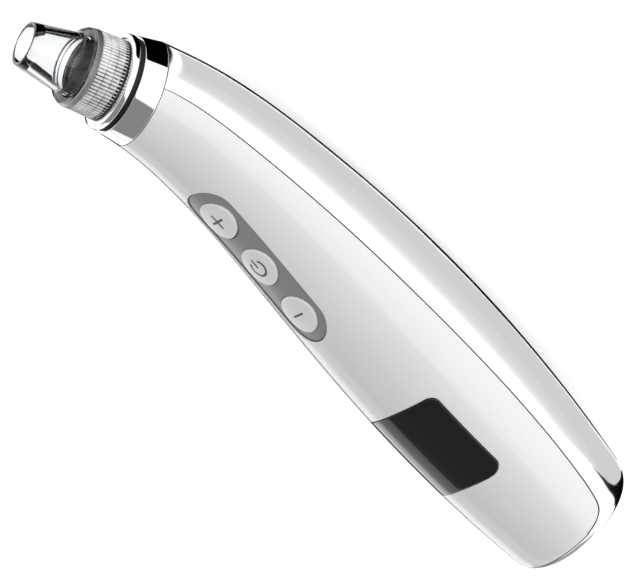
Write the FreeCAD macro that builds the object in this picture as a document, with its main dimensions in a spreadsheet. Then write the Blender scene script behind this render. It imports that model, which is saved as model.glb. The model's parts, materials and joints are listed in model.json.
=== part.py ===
import FreeCAD, Part
import math
import os
from types import SimpleNamespace

import Sketcher
from FreeCAD import Placement, Rotation, Vector

# A cordless blackhead vacuum extractor.
#
# Frame: +Z up, the back resting on Z = 0, the buttons and the display facing +Z, the suction tip
# towards +X, and the plane Y = 0 splitting the handle into two mirrored halves.
# The handle is a row of elliptical sections. The head leans forward by head_tilt, and every piece
# of it is turned about one axis, which starts at the middle of the tip's mouth and runs inwards.

DIMENSIONS = {
    # wall and gaps
    "wall": (1.8, "thickness of both shells"),
    "parting_gap": (0.12, "open line between the two shells"),
    "running_gap": (0.05, "radial clearance of anything that turns or slides"),
    "seat_gap": (0.1, "room round a piece that drops into a hole"),
    # head axis
    "mouth_x": (92.65, "middle of the tip's mouth"),
    "mouth_z": (37.2, "middle of the tip's mouth"),
    "head_tilt": (23.0, "lean of the head axis from +X, degrees"),
    # suction tip, in depth behind the mouth
    "mouth_radius": (5.75, "outside of the mouth"),
    "mouth_bore": (4.75, "inside of the mouth"),
    "mouth_land": (3.0, "straight part of the bore behind the mouth"),
    "cone_length": (12.2, "depth of the cone"),
    "cone_radius": (7.75, "outside of the cone at its foot"),
    "cone_bore": (6.8, "inside of the cone at its foot"),
    "collar_start": (15.0, "depth where the collar's straight side starts"),
    "collar_end": (23.0, "depth of the collar's open end"),
    "collar_radius": (10.2, "outside of the collar at its front"),
    "collar_end_radius": (10.45, "outside of the collar at its open end"),
    "collar_bore": (9.1, "inside of the collar"),
    "rib_depth": (0.3, "depth of the grip grooves"),
    "rib_width": (0.8, "width of a grip groove"),
    "rib_count": (36, "grip grooves round the collar"),
    # seals, filter and spigot
    "tip_seal_depth": (15.05, "front of the black ring inside the collar"),
    "tip_seal_length": (1.3, "thickness of the black ring"),
    "tip_seal_bore": (7.4, "inside of the black ring"),
    "filter_depth": (16.8, "front of the sponge disc"),
    "filter_length": (2.5, "thickness of the sponge disc"),
    "filter_radius": (8.8, "radius of the sponge disc"),
    "spigot_radius": (8.85, "outside of the spigot that carries the tip"),
    "oring_depth": (21.4, "middle of the O-ring"),
    "oring_wire": (0.75, "radius of the O-ring's wire"),
    "flange_start": (24.85, "front of the spigot's flange"),
    "flange_length": (2.2, "thickness of the spigot's flange"),
    "flange_radius": (11.0, "radius of the spigot's flange"),
    "barb_end": (40.5, "depth of the barb's end"),
    "barb_radius": (1.85, "outside of every hose barb"),
    "barb_bore": (1.0, "air way through every hose barb"),
    # chrome ring
    "ring_start": (23.3, "front face of the chrome ring"),
    "ring_lip": (2.0, "length of the rounded lip"),
    "ring_lip_radius": (12.3, "radius of the lip"),
    "ring_groove": (0.45, "depth of the groove behind the lip"),
    "ring_groove_width": (0.8, "width of the groove behind the lip"),
    "ring_wall_radius": (12.6, "outside of the ring behind the groove"),
    "ring_end": (32.2, "rear edge of the chrome ring"),
    "ring_opening": (9.3, "hole for the spigot"),
    "ring_bore": (11.15, "inside of the chrome ring"),
    "ring_front": (1.5, "thickness of the ring's front wall"),
    "neck_radius": (11.0, "neck of the shells inside the ring"),
    "neck_bore": (9.4, "inside of the neck"),
    "neck_start": (27.3, "front end of the neck"),
    # tail
    "tail_x": (-94.9, "flat end of the tail"),
    "tail_round": (8.5, "fillet round the tail"),
    # button panel
    "panel_top": (0.55, "top of the panel under the shell's surface"),
    "panel_flange_top": (1.85, "top of the panel's flange under the shell's surface"),
    "panel_bottom": (2.95, "underside of the panel under the shell's surface"),
    "panel_front_x": (30.6, "middle of the slot's front end"),
    "panel_rear_x": (-2.8, "middle of the slot's rear end"),
    "panel_half_width": (7.1, "half the width of the slot"),
    "panel_flange": (1.3, "how far the panel reaches under the shell"),
    # buttons, measured from the board's own plane
    "button_radius": (5.5, "radius of a button"),
    "button_pitch": (15.1, "distance between buttons"),
    "button_middle_x": (13.5, "the power button"),
    "button_middle_z": (37.56, "shell surface at the power button"),
    "board_tilt": (6.3, "lean of the board, degrees"),
    "button_sink": (0.2, "top of a button under the shell's surface"),
    "skirt_top": (4.3, "top of a button's skirt under the board's own plane"),
    "button_flange": (0.75, "how far the button's skirt reaches under the panel"),
    "button_skirt": (0.6, "thickness of the skirt"),
    "button_travel": (0.4, "how far a button goes down"),
    "plunger_radius": (1.4, "radius of the stem under a button"),
    "switch_size": (6.0, "side of a key switch"),
    "switch_height": (1.9, "height of a key switch"),
    "board_top": (8.2, "top of the board under its own plane at the surface"),
    "board_thickness": (1.2, "thickness of the board"),
    "board_front_x": (19.5, "front end of the board from the power button"),
    "board_rear_x": (-84.0, "rear end of the board from the power button"),
    "board_half_width": (10.5, "half the width of the board"),
    "boss_radius": (2.3, "radius of a screw boss"),
    "screw_radius": (0.95, "radius of a screw's shank"),
    "screw_head": (1.8, "radius of a screw's head"),
    # display
    "window_front_x": (-35.3, "front edge of the window on the middle line"),
    "window_rear_x": (-61.4, "rear edge of the window on the middle line"),
    "window_half_width": (14.3, "half the width of the window"),
    "window_bow": (1.9, "how far the window's ends bow towards the tip"),
    "window_corner": (2.6, "corner radius of the window"),
    "window_thickness": (1.2, "thickness of the lens"),
    "window_ledge": (1.2, "width of the ledge under the lens"),
    "module_length": (23.0, "length of the display module"),
    "module_half_width": (8.0, "half the width of the display module"),
    "module_height": (3.0, "height of the display module"),
    "module_x": (-63.0, "middle of the module from the power button"),
    # pump and motor, along +X
    "pump_z": (15.2, "height of the pump's axis"),
    "motor_rear_x": (-18.0, "rear end of the motor can"),
    "motor_front_x": (10.0, "front end of the motor can"),
    "motor_radius": (10.2, "outside of the motor can"),
    "can_wall": (0.8, "thickness of the can"),
    "pump_radius": (10.5, "outside of the pump head"),
    "case_length": (12.0, "length of the crank case"),
    "case_wall": (1.2, "thickness of the crank case"),
    "diaphragm_thickness": (1.0, "rubber sheet of the diaphragm"),
    "cup_radius": (3.0, "radius of a diaphragm cup"),
    "cup_circle": (5.7, "radius that the cups stand on"),
    "cup_depth": (2.6, "depth of a diaphragm cup"),
    "valve_thickness": (2.4, "thickness of the valve plate"),
    "cap_length": (4.0, "length of the pump cap"),
    "inlet_length": (6.0, "length of the pump's inlet barb"),
    "shaft_radius": (1.0, "radius of the motor shaft"),
    "bush_radius": (2.5, "outside of a bush"),
    "bush_length": (2.4, "length of a bush"),
    "core_radius": (6.5, "radius of the rotor core"),
    "core_length": (14.0, "length of the rotor core"),
    "magnet_inner": (7.2, "inside of the magnets"),
    "magnet_length": (16.0, "length of the magnets"),
    "eccentric_radius": (5.5, "radius of the eccentric wheel"),
    "eccentric_length": (4.2, "length of the eccentric wheel"),
    "pin_radius": (0.75, "radius of the crank pin"),
    "pin_offset": (1.4, "distance of the crank pin from the shaft's axis"),
    "pin_tilt": (7.0, "lean of the crank pin, degrees"),
    "sleeve_thickness": (1.0, "rubber sleeves round the pump"),
    "sleeve_length": (6.0, "length of a rubber sleeve"),
    "cradle_wall": (1.3, "thickness of both cradles"),
    "rib_thickness": (1.5, "thickness of a cradle's ribs"),
    "hose_radius": (3.0, "outside of the silicone hose"),
    "hose_bore": (1.9, "inside of the silicone hose"),
    # battery and charging
    "cell_radius": (9.0, "radius of the battery cell"),
    "cell_length": (50.0, "length of the battery cell"),
    "cell_front_x": (-28.0, "front end of the battery cell"),
    "cell_z": (18.6, "height of the battery cell's axis"),
    "port_z": (24.6, "height of the charging port"),
    "port_half_width": (4.4, "half the width of the charging port"),
    "port_half_height": (1.6, "half the height of the charging port"),
    "port_length": (7.0, "length of the charging port"),
    "port_recess": (0.5, "port behind the tail's end face"),
    "vent_radius": (0.8, "exhaust holes in the tail"),
    "wire_radius": (0.55, "insulated leads"),
}

# Sections of the handle from the chrome ring to the tail:
# x and z of the middle, lean in degrees, half width along Y, half depth.
SECTIONS = [
    (63.0, 24.6, 23.0, 13.6, 13.6),
    (54.9, 22.4, 17.5, 14.5, 14.4),
    (45.9, 20.7, 11.5, 15.5, 15.35),
    (35.0, 19.6, 6.0, 16.5, 16.4),
    (20.0, 19.2, 1.5, 17.9, 17.8),
    (2.0, 19.65, 0.0, 19.65, 19.45),
    (-18.0, 20.8, 0.0, 21.1, 20.8),
    (-38.0, 22.2, 0.0, 21.7, 21.35),
    (-58.0, 23.7, 0.0, 21.25, 20.9),
    (-76.0, 25.1, 0.0, 19.9, 19.6),
    (-94.9, 26.6, 0.0, 17.6, 17.3),
]

# Side view of the line where the two shells meet, from the ring to the end of the tail.
PARTING_LINE = [
    (72.0, 32.2), (61.75, 27.5), (42.6, 24.2), (16.6, 23.4), (-22.4, 24.8), (-61.4, 26.9), (-78.0, 28.4),
    (-85.0, 29.4), (-88.8, 30.9), (-90.5, 34.0), (-91.1, 38.0), (-91.2, 43.0), (-91.25, 50.0),
]

TOO_FAR = 200.0  # larger than the whole object, for cutting tools

doc = FreeCAD.newDocument("blackhead_vacuum")
sheet = doc.addObject("Spreadsheet::Sheet", "dims")


class Size:
    """A length from the sheet: its number, and the expression that gives it."""

    def __init__(self, number, text):
        self.number = number
        self.text = text

    def __float__(self):
        return float(self.number)

    def _with(self, other, number, sign):
        other_text = other.text if isinstance(other, Size) else str(other)
        return Size(number, "(" + self.text + " " + sign + " " + other_text + ")")

    def __add__(self, other):
        return self._with(other, float(self) + float(other), "+")

    def __sub__(self, other):
        return self._with(other, float(self) - float(other), "-")

    def __mul__(self, other):
        return self._with(other, float(self) * float(other), "*")

    def __truediv__(self, other):
        return self._with(other, float(self) / float(other), "/")

    def __neg__(self):
        return Size(-self.number, "(0 - " + self.text + ")")


def fill_sheet():
    """Write every driving dimension into the sheet, and return them by name."""
    sizes = {}
    for line, (name, (number, note)) in enumerate(DIMENSIONS.items(), start=1):
        sheet.set("A%d" % line, name)
        sheet.set("B%d" % line, str(number))
        sheet.setAlias("B%d" % line, name)
        sheet.set("C%d" % line, note)
        sizes[name] = Size(number, "dims." + name)
    line = len(DIMENSIONS) + 1
    for index, section in enumerate(SECTIONS):
        for word, number in zip(("place_x", "place_z", "lean", "half_width", "half_depth"), section):
            name = "section_%s_%s" % (chr(ord("a") + index), word)
            sheet.set("A%d" % line, name)
            sheet.set("B%d" % line, str(number))
            sheet.setAlias("B%d" % line, name)
            sizes[name] = Size(number, "dims." + name)
            line += 1
    doc.recompute()
    return SimpleNamespace(**sizes)


d = fill_sheet()
parts = []


# ---------------------------------------------------------------- placements

def facing(point, direction):
    """A placement at point whose own Z runs along direction."""
    return Placement(Vector(*point), Rotation(Vector(0, 0, 1), Vector(*direction)))


HEAD_ANGLE = math.radians(float(d.head_tilt))
HEAD_AXIS = Vector(math.cos(HEAD_ANGLE), 0, math.sin(HEAD_ANGLE))
MOUTH = Vector(float(d.mouth_x), 0, float(d.mouth_z))
# Own Z runs from the mouth into the handle, own Y stays the row's Y.
HEAD = Placement(MOUTH, Rotation(Vector(0, 1, 0), 270 - float(d.head_tilt)))
# Own Z runs along +X from the origin of the row, at the height of the pump's axis.
PUMP = Placement(Vector(0, 0, float(d.pump_z)), Rotation(Vector(0, 1, 0), 90))
# Own XY plane is the shell's surface at the power button, leaning as the board does.
BOARD = Placement(
    Vector(float(d.button_middle_x), 0, float(d.button_middle_z)),
    Rotation(Vector(0, 1, 0), float(d.board_tilt)),
)


# ---------------------------------------------------------------- building blocks

def keep(item, label):
    """Name a finished sub-part and list it for export."""
    item.Label = label
    parts.append(item)
    return item


def bind(item, name, value):
    """Bind a property to a Size, or set it to a plain number."""
    if isinstance(value, Size):
        item.setExpression(name, value.text)
    else:
        setattr(item, name, value)


def cylinder(label, radius, length, place):
    """A cylinder from place along its own Z."""
    item = doc.addObject("Part::Cylinder", label)
    bind(item, "Radius", radius)
    bind(item, "Height", length)
    item.Placement = place
    return item


def box(label, size_x, size_y, size_z, place, corner):
    """A box with its own sides, whose lowest corner is at corner in the frame of place."""
    item = doc.addObject("Part::Box", label)
    bind(item, "Length", size_x)
    bind(item, "Width", size_y)
    bind(item, "Height", size_z)
    shift = Placement(Vector(*[float(value) for value in corner]), Rotation())
    item.Placement = place.multiply(shift)
    return item


def at(place, x, y, z):
    """The placement moved by x, y, z in its own frame."""
    return place.multiply(Placement(Vector(float(x), float(y), float(z)), Rotation()))


def cut(label, base, *tools):
    """base with every tool taken away."""
    for index, tool in enumerate(tools):
        item = doc.addObject("Part::Cut", "%s_cut%d" % (label, index))
        item.Base = base
        item.Tool = tool
        base = item
    return base


def fuse(label, *shapes):
    """The shapes as one."""
    item = doc.addObject("Part::MultiFuse", label + "_fuse")
    item.Shapes = list(shapes)
    return item


def common(label, *shapes):
    """What the shapes share."""
    item = doc.addObject("Part::MultiCommon", label + "_common")
    item.Shapes = list(shapes)
    return item


def tube(label, radius, bore, length, place):
    """A round tube from place along its own Z."""
    outside = cylinder(label + "_outside", radius, length, place)
    inside = cylinder(label + "_inside", bore, length + 2.0, at(place, 0, 0, -1))
    return cut(label, outside, inside)


def plane_of(body, role):
    """One of the body's own origin planes."""
    return next(item for item in body.Origin.OriginFeatures if item.Role == role)


def outline_sketch(body, role, corners):
    """A closed outline of straight lines, with every corner placed from the sheet."""
    sketch = body.newObject("Sketcher::SketchObject", body.Label + "_outline")
    sketch.AttachmentSupport = [(plane_of(body, role), "")]
    sketch.MapMode = "FlatFace"
    points = [Vector(float(x), float(y), 0) for x, y in corners]
    for start, end in zip(points, points[1:] + points[:1]):
        sketch.addGeometry(Part.LineSegment(start, end), False)
    for index in range(len(points)):
        following = (index + 1) % len(points)
        sketch.addConstraint(Sketcher.Constraint("Coincident", index, 2, following, 1))
    for index, corner in enumerate(corners):
        for kind, axis, value in (("DistanceX", -2, corner[0]), ("DistanceY", -1, corner[1])):
            if float(value) == 0:
                sketch.addConstraint(Sketcher.Constraint("PointOnObject", index, 1, axis))
                continue
            number = sketch.addConstraint(Sketcher.Constraint(kind, -1, 1, index, 1, float(value)))
            if isinstance(value, Size):
                sketch.setExpression("Constraints[%d]" % number, value.text)
    return sketch


def turned(label, corners, place):
    """A body turned about its own Z from an outline of radius and depth."""
    body = doc.addObject("PartDesign::Body", label)
    sketch = outline_sketch(body, "XZ_Plane", corners)
    turn = body.newObject("PartDesign::Revolution", label + "_turn")
    turn.Profile = sketch
    turn.ReferenceAxis = (sketch, ["V_Axis"])
    turn.Angle = 360
    body.Placement = place
    return body


def padded(label, corners, thickness, place, role="XY_Plane"):
    """A body made by giving an outline a thickness along its own normal."""
    body = doc.addObject("PartDesign::Body", label)
    sketch = outline_sketch(body, role, corners)
    pad = body.newObject("PartDesign::Pad", label + "_pad")
    pad.Profile = sketch
    bind(pad, "Length", thickness)
    body.Placement = place
    return body


def bent_path(points):
    """Straight runs joined by tangent arcs, each arc as large as its two runs allow."""
    corners = [Vector(*point) for point in points]
    edges = []
    last = corners[0]
    for before, corner, after in zip(corners, corners[1:], corners[2:]):
        run_in = corner - before
        run_out = after - corner
        reach = 0.45 * min(run_in.Length, run_out.Length)
        start = corner - run_in.normalize() * reach
        end = corner + run_out.normalize() * reach
        turn = run_in.getAngle(run_out)
        radius = reach / math.tan(turn / 2)
        inward = (run_out - run_in).normalize()
        centre = corner + inward * (radius / math.cos(turn / 2))
        middle = centre - inward * radius
        edges.append(Part.LineSegment(last, start).toShape())
        edges.append(Part.Arc(start, middle, end).toShape())
        last = end
    edges.append(Part.LineSegment(last, corners[-1]).toShape())
    return Part.Wire(edges)


def swept(path, radius):
    """A round bar of the given radius along a path."""
    start = path.Edges[0].firstVertex().Point
    direction = path.Edges[0].tangentAt(path.Edges[0].FirstParameter)
    ring = Part.Wire(Part.Circle(start, direction, radius).toShape())
    return path.makePipeShell([ring], True, False)


def feature(label, shape):
    """A sub-part whose shape is worked out here."""
    item = doc.addObject("Part::Feature", label)
    item.Shape = shape
    return item


# ---------------------------------------------------------------- handle

def section_ellipse(label, index, inset, slide):
    """One section of the handle, smaller all round by inset and slid along its axis."""
    letter = chr(ord("a") + index)
    width = getattr(d, "section_%s_half_width" % letter)
    depth = getattr(d, "section_%s_half_depth" % letter)
    x, z, lean, _, _ = SECTIONS[index]
    angle = math.radians(lean)
    axis = Vector(math.cos(angle), 0, math.sin(angle))
    item = doc.addObject("Part::Ellipse", "%s_%s" % (label, letter))
    bind(item, "MajorRadius", width - inset)
    bind(item, "MinorRadius", depth - inset)
    upward = Vector(-math.sin(angle), 0, math.cos(angle))
    item.Placement = Placement(Vector(x, 0, z) + axis * slide, Rotation(Vector(0, 1, 0), upward, axis, "ZXY"))
    return item


forms = {}


def handle_form(inset):
    """The solid form of the handle, smaller all round by inset, with its rounded tail."""
    if float(inset) in forms:
        return forms[float(inset)]
    label = "form_%d" % len(forms)
    last = len(SECTIONS) - 1
    slides = {0: -float(inset), last: float(inset)}
    loft = doc.addObject("Part::Loft", label + "_loft")
    loft.Sections = [
        section_ellipse(label, index, inset, slides.get(index, 0.0)) for index in range(len(SECTIONS))
    ]
    loft.Solid = True
    loft.Ruled = False
    doc.recompute()
    tail = min(range(len(loft.Shape.Edges)), key=lambda n: loft.Shape.Edges[n].CenterOfMass.x)
    rounded = doc.addObject("Part::Fillet", label)
    rounded.Base = loft
    radius = float(d.tail_round) - float(inset)
    rounded.Edges = [(tail + 1, radius, radius)]
    doc.recompute()
    forms[float(inset)] = rounded
    return rounded


def parting_tool(label, upward, gap):
    """Everything on one side of the parting line, less half the gap."""
    shift = gap / 2 if upward else -gap / 2
    near_y = -TOO_FAR / 2
    points = [Vector(x + shift, near_y, z + shift) for x, z in PARTING_LINE]
    line = Part.BSplineCurve()
    line.interpolate(points)
    corners = [points[-1], Vector(points[-1].x, near_y, TOO_FAR)]
    if upward:
        corners.append(Vector(points[0].x, near_y, TOO_FAR))
    else:
        corners.append(Vector(-TOO_FAR, near_y, TOO_FAR))
        corners.append(Vector(-TOO_FAR, near_y, -TOO_FAR))
        corners.append(Vector(points[0].x, near_y, -TOO_FAR))
    corners.append(points[0])
    edges = [line.toShape()]
    for start, end in zip(corners, corners[1:]):
        edges.append(Part.LineSegment(start, end).toShape())
    face = Part.Face(Part.Wire(edges))
    return feature(label, face.extrude(Vector(0, TOO_FAR, 0)))


def slot_tool(label, grow):
    """An upright prism over the button slot, larger all round by grow."""
    half = float(d.panel_half_width) + grow
    front = float(d.panel_front_x)
    rear = float(d.panel_rear_x)
    base = float(d.cell_z)
    edges = [
        Part.LineSegment(Vector(rear, -half, base), Vector(front, -half, base)).toShape(),
        Part.Arc(
            Vector(front, -half, base), Vector(front + half, 0, base), Vector(front, half, base)
        ).toShape(),
        Part.LineSegment(Vector(front, half, base), Vector(rear, half, base)).toShape(),
        Part.Arc(
            Vector(rear, half, base), Vector(rear - half, 0, base), Vector(rear, -half, base)
        ).toShape(),
    ]
    face = Part.Face(Part.Wire(edges))
    return feature(label, face.extrude(Vector(0, 0, TOO_FAR)))


def window_tool(label, grow):
    """An upright prism over the display window, larger all round by grow, with bowed ends."""
    half = float(d.window_half_width) + grow
    front = float(d.window_front_x) + grow
    rear = float(d.window_rear_x) - grow
    bow = float(d.window_bow)
    base = float(d.pump_z)
    front_arc = Part.Arc(
        Vector(front - bow, half, base), Vector(front, 0, base), Vector(front - bow, -half, base)
    )
    rear_arc = Part.Arc(
        Vector(rear - bow, -half, base), Vector(rear, 0, base), Vector(rear - bow, half, base)
    )
    edges = [
        front_arc.toShape(),
        Part.LineSegment(Vector(front - bow, -half, base), Vector(rear - bow, -half, base)).toShape(),
        rear_arc.toShape(),
        Part.LineSegment(Vector(rear - bow, half, base), Vector(front - bow, half, base)).toShape(),
    ]
    prism = Part.Face(Part.Wire(edges)).extrude(Vector(0, 0, TOO_FAR))
    upright = [edge for edge in prism.Edges if edge.Length > TOO_FAR - 1]
    return feature(label, prism.makeFillet(float(d.window_corner) + grow, upright))


SCREW_PLACES = [(-33.5, 8.0), (-33.5, -8.0), (-80.5, 7.0), (-80.5, -7.0)]
SCREW_FIT = 0.02  # screw in its boss
SCREW_HOLE_DEPTH = 4.1
NECK_OVERLAP = 3.0  # how far the neck reaches into the shell's form
PORT_CLEARANCE = 0.15  # charging port in its hole
VENT_SPACING = 4.5
VENT_Z = 17.0
CUT_THROUGH = 4.0  # how far a hole's tool stands out of the tail


def make_shells(outside, inside):
    """The two halves of the handle, with the neck that the chrome ring fits over."""
    neck_length = d.ring_end - d.neck_start + NECK_OVERLAP
    neck = cylinder("neck", d.neck_radius, neck_length, at(HEAD, 0, 0, d.neck_start))
    neck_hole = cylinder("neck_hole", d.neck_bore, neck_length + 4.0, at(HEAD, 0, 0, d.neck_start - 1.0))
    solid = fuse("handle_outside", outside, neck)
    hollow = fuse("handle_inside", inside, neck_hole)
    gap = float(d.parting_gap)

    front = common("front_half", solid, parting_tool("above_parting", True, gap))
    front = cut("front_hollow", front, hollow)
    front = cut("front_slot", front, slot_tool("slot_hole", 0.0))
    seat = cut("window_seat", window_tool("window_hole", float(d.seat_gap)), handle_form(d.window_thickness + 0.05))
    front = cut("front_window", front, seat, window_tool("window_view", -float(d.window_ledge)))
    bosses = []
    holes = []
    for index, (x, y) in enumerate(SCREW_PLACES):
        foot = at(BOARD, x, y, -d.board_top)
        pillar = cylinder("boss_%d" % index, d.boss_radius, d.board_top + 1.0, foot)
        bosses.append(common("boss_%d" % index, pillar, outside))
        holes.append(
            cylinder(
                "boss_hole_%d" % index, d.screw_radius + SCREW_FIT, SCREW_HOLE_DEPTH + 0.5, at(foot, 0, 0, -0.5)
            )
        )
    front = fuse("front_bosses", front, *bosses)
    keep(cut("front_boss_holes", front, *holes), "front_shell")

    rear = common("rear_half", solid, parting_tool("below_parting", False, gap))
    rear = cut("rear_hollow", rear, hollow)
    half_width = d.port_half_width + PORT_CLEARANCE
    half_height = d.port_half_height + PORT_CLEARANCE
    start_x = d.tail_x - CUT_THROUGH
    port = box(
        "port_hole", CUT_THROUGH * 2.5, half_width * 2, half_height * 2, Placement(),
        (start_x, -half_width, d.port_z - half_height),
    )
    vents = []
    for number in (-1, 0, 1):
        foot = facing((float(start_x), VENT_SPACING * number, VENT_Z), (1, 0, 0))
        vents.append(cylinder("vent_%d" % (number + 1), d.vent_radius, CUT_THROUGH * 2.5, foot))
    keep(cut("rear_openings", rear, port, *vents), "rear_shell")


def make_panel():
    """The grey plate that rises into the slot and follows the shell, with three button holes."""
    raised = common("panel_raised", slot_tool("panel_outline", -float(d.seat_gap)), handle_form(d.panel_top))
    flange = common(
        "panel_flange", slot_tool("panel_flange", float(d.panel_flange)), handle_form(d.panel_flange_top)
    )
    plate = cut("panel_layer", fuse("panel_plate", raised, flange), handle_form(d.panel_bottom))
    holes = []
    for number in (-1, 0, 1):
        foot = at(BOARD, float(d.button_pitch) * number, 0, -6)
        holes.append(cylinder("button_hole_%d" % (number + 1), d.button_radius + d.seat_gap, 10.0, foot))
    keep(cut("panel_holes", plate, *holes), "button_panel")


def make_window(outside):
    """The black lens, flush with the shell, on a ledge round its opening."""
    lens = common("window_piece", window_tool("window_outline", 0.0), outside)
    keep(cut("window_layer", lens, handle_form(d.window_thickness)), "display_window")


# ---------------------------------------------------------------- head

def make_tip():
    """The clear cone and its ribbed collar, in one piece."""
    corners = [
        (d.mouth_bore, 0.0),
        (d.mouth_radius, 0.0),
        (d.cone_radius, d.cone_length),
        (d.cone_radius + 1.2, d.cone_length + 0.5),
        (d.collar_radius - 0.4, d.cone_length + 1.5),
        (d.collar_radius, d.collar_start),
        (d.collar_end_radius, d.collar_end),
        (d.collar_bore, d.collar_end),
        (d.collar_bore, d.tip_seal_depth - 0.05),
        (d.cone_bore + 0.2, d.tip_seal_depth - 0.05),
        (d.cone_bore, d.cone_length),
        (d.mouth_bore, d.mouth_land),
    ]
    body = turned("suction_tip", corners, HEAD)
    doc.recompute()
    sketch = body.newObject("Sketcher::SketchObject", "rib_groove_outline")
    sketch.AttachmentSupport = [(plane_of(body, "XY_Plane"), "")]
    sketch.MapMode = "FlatFace"
    sketch.AttachmentOffset = Placement(Vector(0, 0, float(d.collar_start + 1.0)), Rotation())
    half = float(d.rib_width) / 2
    inner = float(d.collar_radius - d.rib_depth)
    outer = inner + 2
    points = [Vector(inner, -half, 0), Vector(outer, -half, 0), Vector(outer, half, 0), Vector(inner, half, 0)]
    for start, end in zip(points, points[1:] + points[:1]):
        sketch.addGeometry(Part.LineSegment(start, end), False)
    groove = body.newObject("PartDesign::Pocket", "rib_groove")
    groove.Profile = sketch
    groove.Reversed = True
    bind(groove, "Length", d.collar_end - d.collar_start)
    doc.recompute()
    around = body.newObject("PartDesign::PolarPattern", "rib_grooves")
    around.Originals = [groove]
    around.Axis = (sketch, ["N_Axis"])
    around.Angle = 360
    around.Occurrences = int(float(d.rib_count))
    body.Tip = around
    keep(body, "suction_tip")


def make_head():
    """Chrome ring, spigot, seals and filter, all on the head axis."""
    lip_end = d.ring_start + d.ring_lip
    groove_end = lip_end + d.ring_groove_width
    ring = [
        (d.ring_opening, d.ring_start),
        (d.ring_lip_radius - 1.4, d.ring_start),
        (d.ring_lip_radius - 0.4, d.ring_start + 0.4),
        (d.ring_lip_radius, d.ring_start + 1.3),
        (d.ring_lip_radius, lip_end),
        (d.ring_lip_radius - d.ring_groove, lip_end + 0.1),
        (d.ring_lip_radius - d.ring_groove, groove_end - 0.1),
        (d.ring_wall_radius, groove_end),
        (d.section_a_half_width, d.ring_end),
        (d.ring_bore, d.ring_end),
        (d.ring_bore, d.ring_start + d.ring_front),
        (d.ring_opening, d.ring_start + d.ring_front),
    ]
    keep(turned("head_ring", ring, HEAD), "head_ring")

    filter_end = d.filter_depth + d.filter_length
    flange_end = d.flange_start + d.flange_length
    groove_floor = d.collar_bore - d.running_gap - d.oring_wire * 2 - 0.02
    spigot = [
        (d.barb_bore, filter_end + 2.5),
        (d.spigot_radius - 2.0, filter_end + 0.05),
        (d.spigot_radius, filter_end + 0.05),
        (d.spigot_radius, d.oring_depth - d.oring_wire - 0.1),
        (groove_floor, d.oring_depth - d.oring_wire - 0.1),
        (groove_floor, d.oring_depth + d.oring_wire + 0.1),
        (d.spigot_radius, d.oring_depth + d.oring_wire + 0.1),
        (d.spigot_radius, d.flange_start),
        (d.flange_radius, d.flange_start),
        (d.flange_radius, flange_end),
        (d.barb_radius + 1.5, flange_end),
        (d.barb_radius + 1.5, flange_end + 5.0),
        (d.barb_radius, flange_end + 5.0),
        (d.barb_radius, d.barb_end),
        (d.barb_bore, d.barb_end),
    ]
    keep(turned("nozzle_base", spigot, HEAD), "nozzle_base")

    ring_middle = at(HEAD, 0, 0, d.oring_depth)
    oring = doc.addObject("Part::Torus", "nozzle_o_ring")
    bind(oring, "Radius1", d.collar_bore - d.running_gap - d.oring_wire)
    bind(oring, "Radius2", d.oring_wire)
    oring.Placement = ring_middle
    keep(oring, "nozzle_o_ring")

    sponge = cylinder("filter_sponge", d.filter_radius, d.filter_length, at(HEAD, 0, 0, d.filter_depth))
    keep(sponge, "filter_sponge")
    seal = tube(
        "tip_seal",
        d.collar_bore - 0.02,
        d.tip_seal_bore,
        d.tip_seal_length,
        at(HEAD, 0, 0, d.tip_seal_depth),
    )
    keep(seal, "tip_seal")


# ---------------------------------------------------------------- buttons, board and display

STEM_RADIUS = 1.2
KEY_REST_GAP = 0.35  # under a key at the end of its press
KEY_TRIM = 2.0  # stands out of the shell before the shell's form trims it


def make_buttons():
    """Three round keys with skirts under the panel, each on a key switch."""
    reach = d.button_radius + d.button_flange
    for name, number in (("plus", 1), ("power", 0), ("minus", -1)):
        place = at(BOARD, float(d.button_pitch) * number, 0, 0)
        under = -d.skirt_top
        foot = -d.board_top + d.switch_height + d.button_travel + KEY_REST_GAP
        corners = [
            (0.0, KEY_TRIM),
            (d.button_radius, KEY_TRIM),
            (d.button_radius, under),
            (reach, under),
            (reach, under - d.button_skirt),
            (d.plunger_radius, under - d.button_skirt),
            (d.plunger_radius, foot),
            (0.0, foot),
        ]
        blank = turned("button_%s_blank" % name, corners, place)
        keep(common("button_" + name, blank, handle_form(d.button_sink)), "button_" + name)

        stem = cylinder(
            "switch_stem_" + name, STEM_RADIUS, d.button_travel + 0.3,
            at(place, 0, 0, -d.board_top + d.switch_height),
        )
        keep(stem, "switch_stem_" + name)
        half = d.switch_size / 2
        case = box(
            "switch_%s_case" % name, d.switch_size, d.switch_size, d.switch_height,
            place, (-half, -half, -d.board_top),
        )
        well = cylinder(
            "switch_%s_well" % name, STEM_RADIUS + float(d.running_gap), 3.0,
            at(place, 0, 0, -d.board_top + d.switch_height - d.button_travel - 0.1),
        )
        keep(cut("switch_" + name, case, well), "switch_" + name)


BOARD_CHAMFER = 3.0
SCREW_HEAD_HEIGHT = 1.2
SCREW_LENGTH = 5.0
SCREW_SLOT = (0.5, 2.4, 0.6)  # width, length, height of the tool
CHIP_SIZE = 7.0
CHIP_HEIGHT = 1.4
CHIP_X = -23.0
SCREEN_FRAME = 2.0


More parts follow.
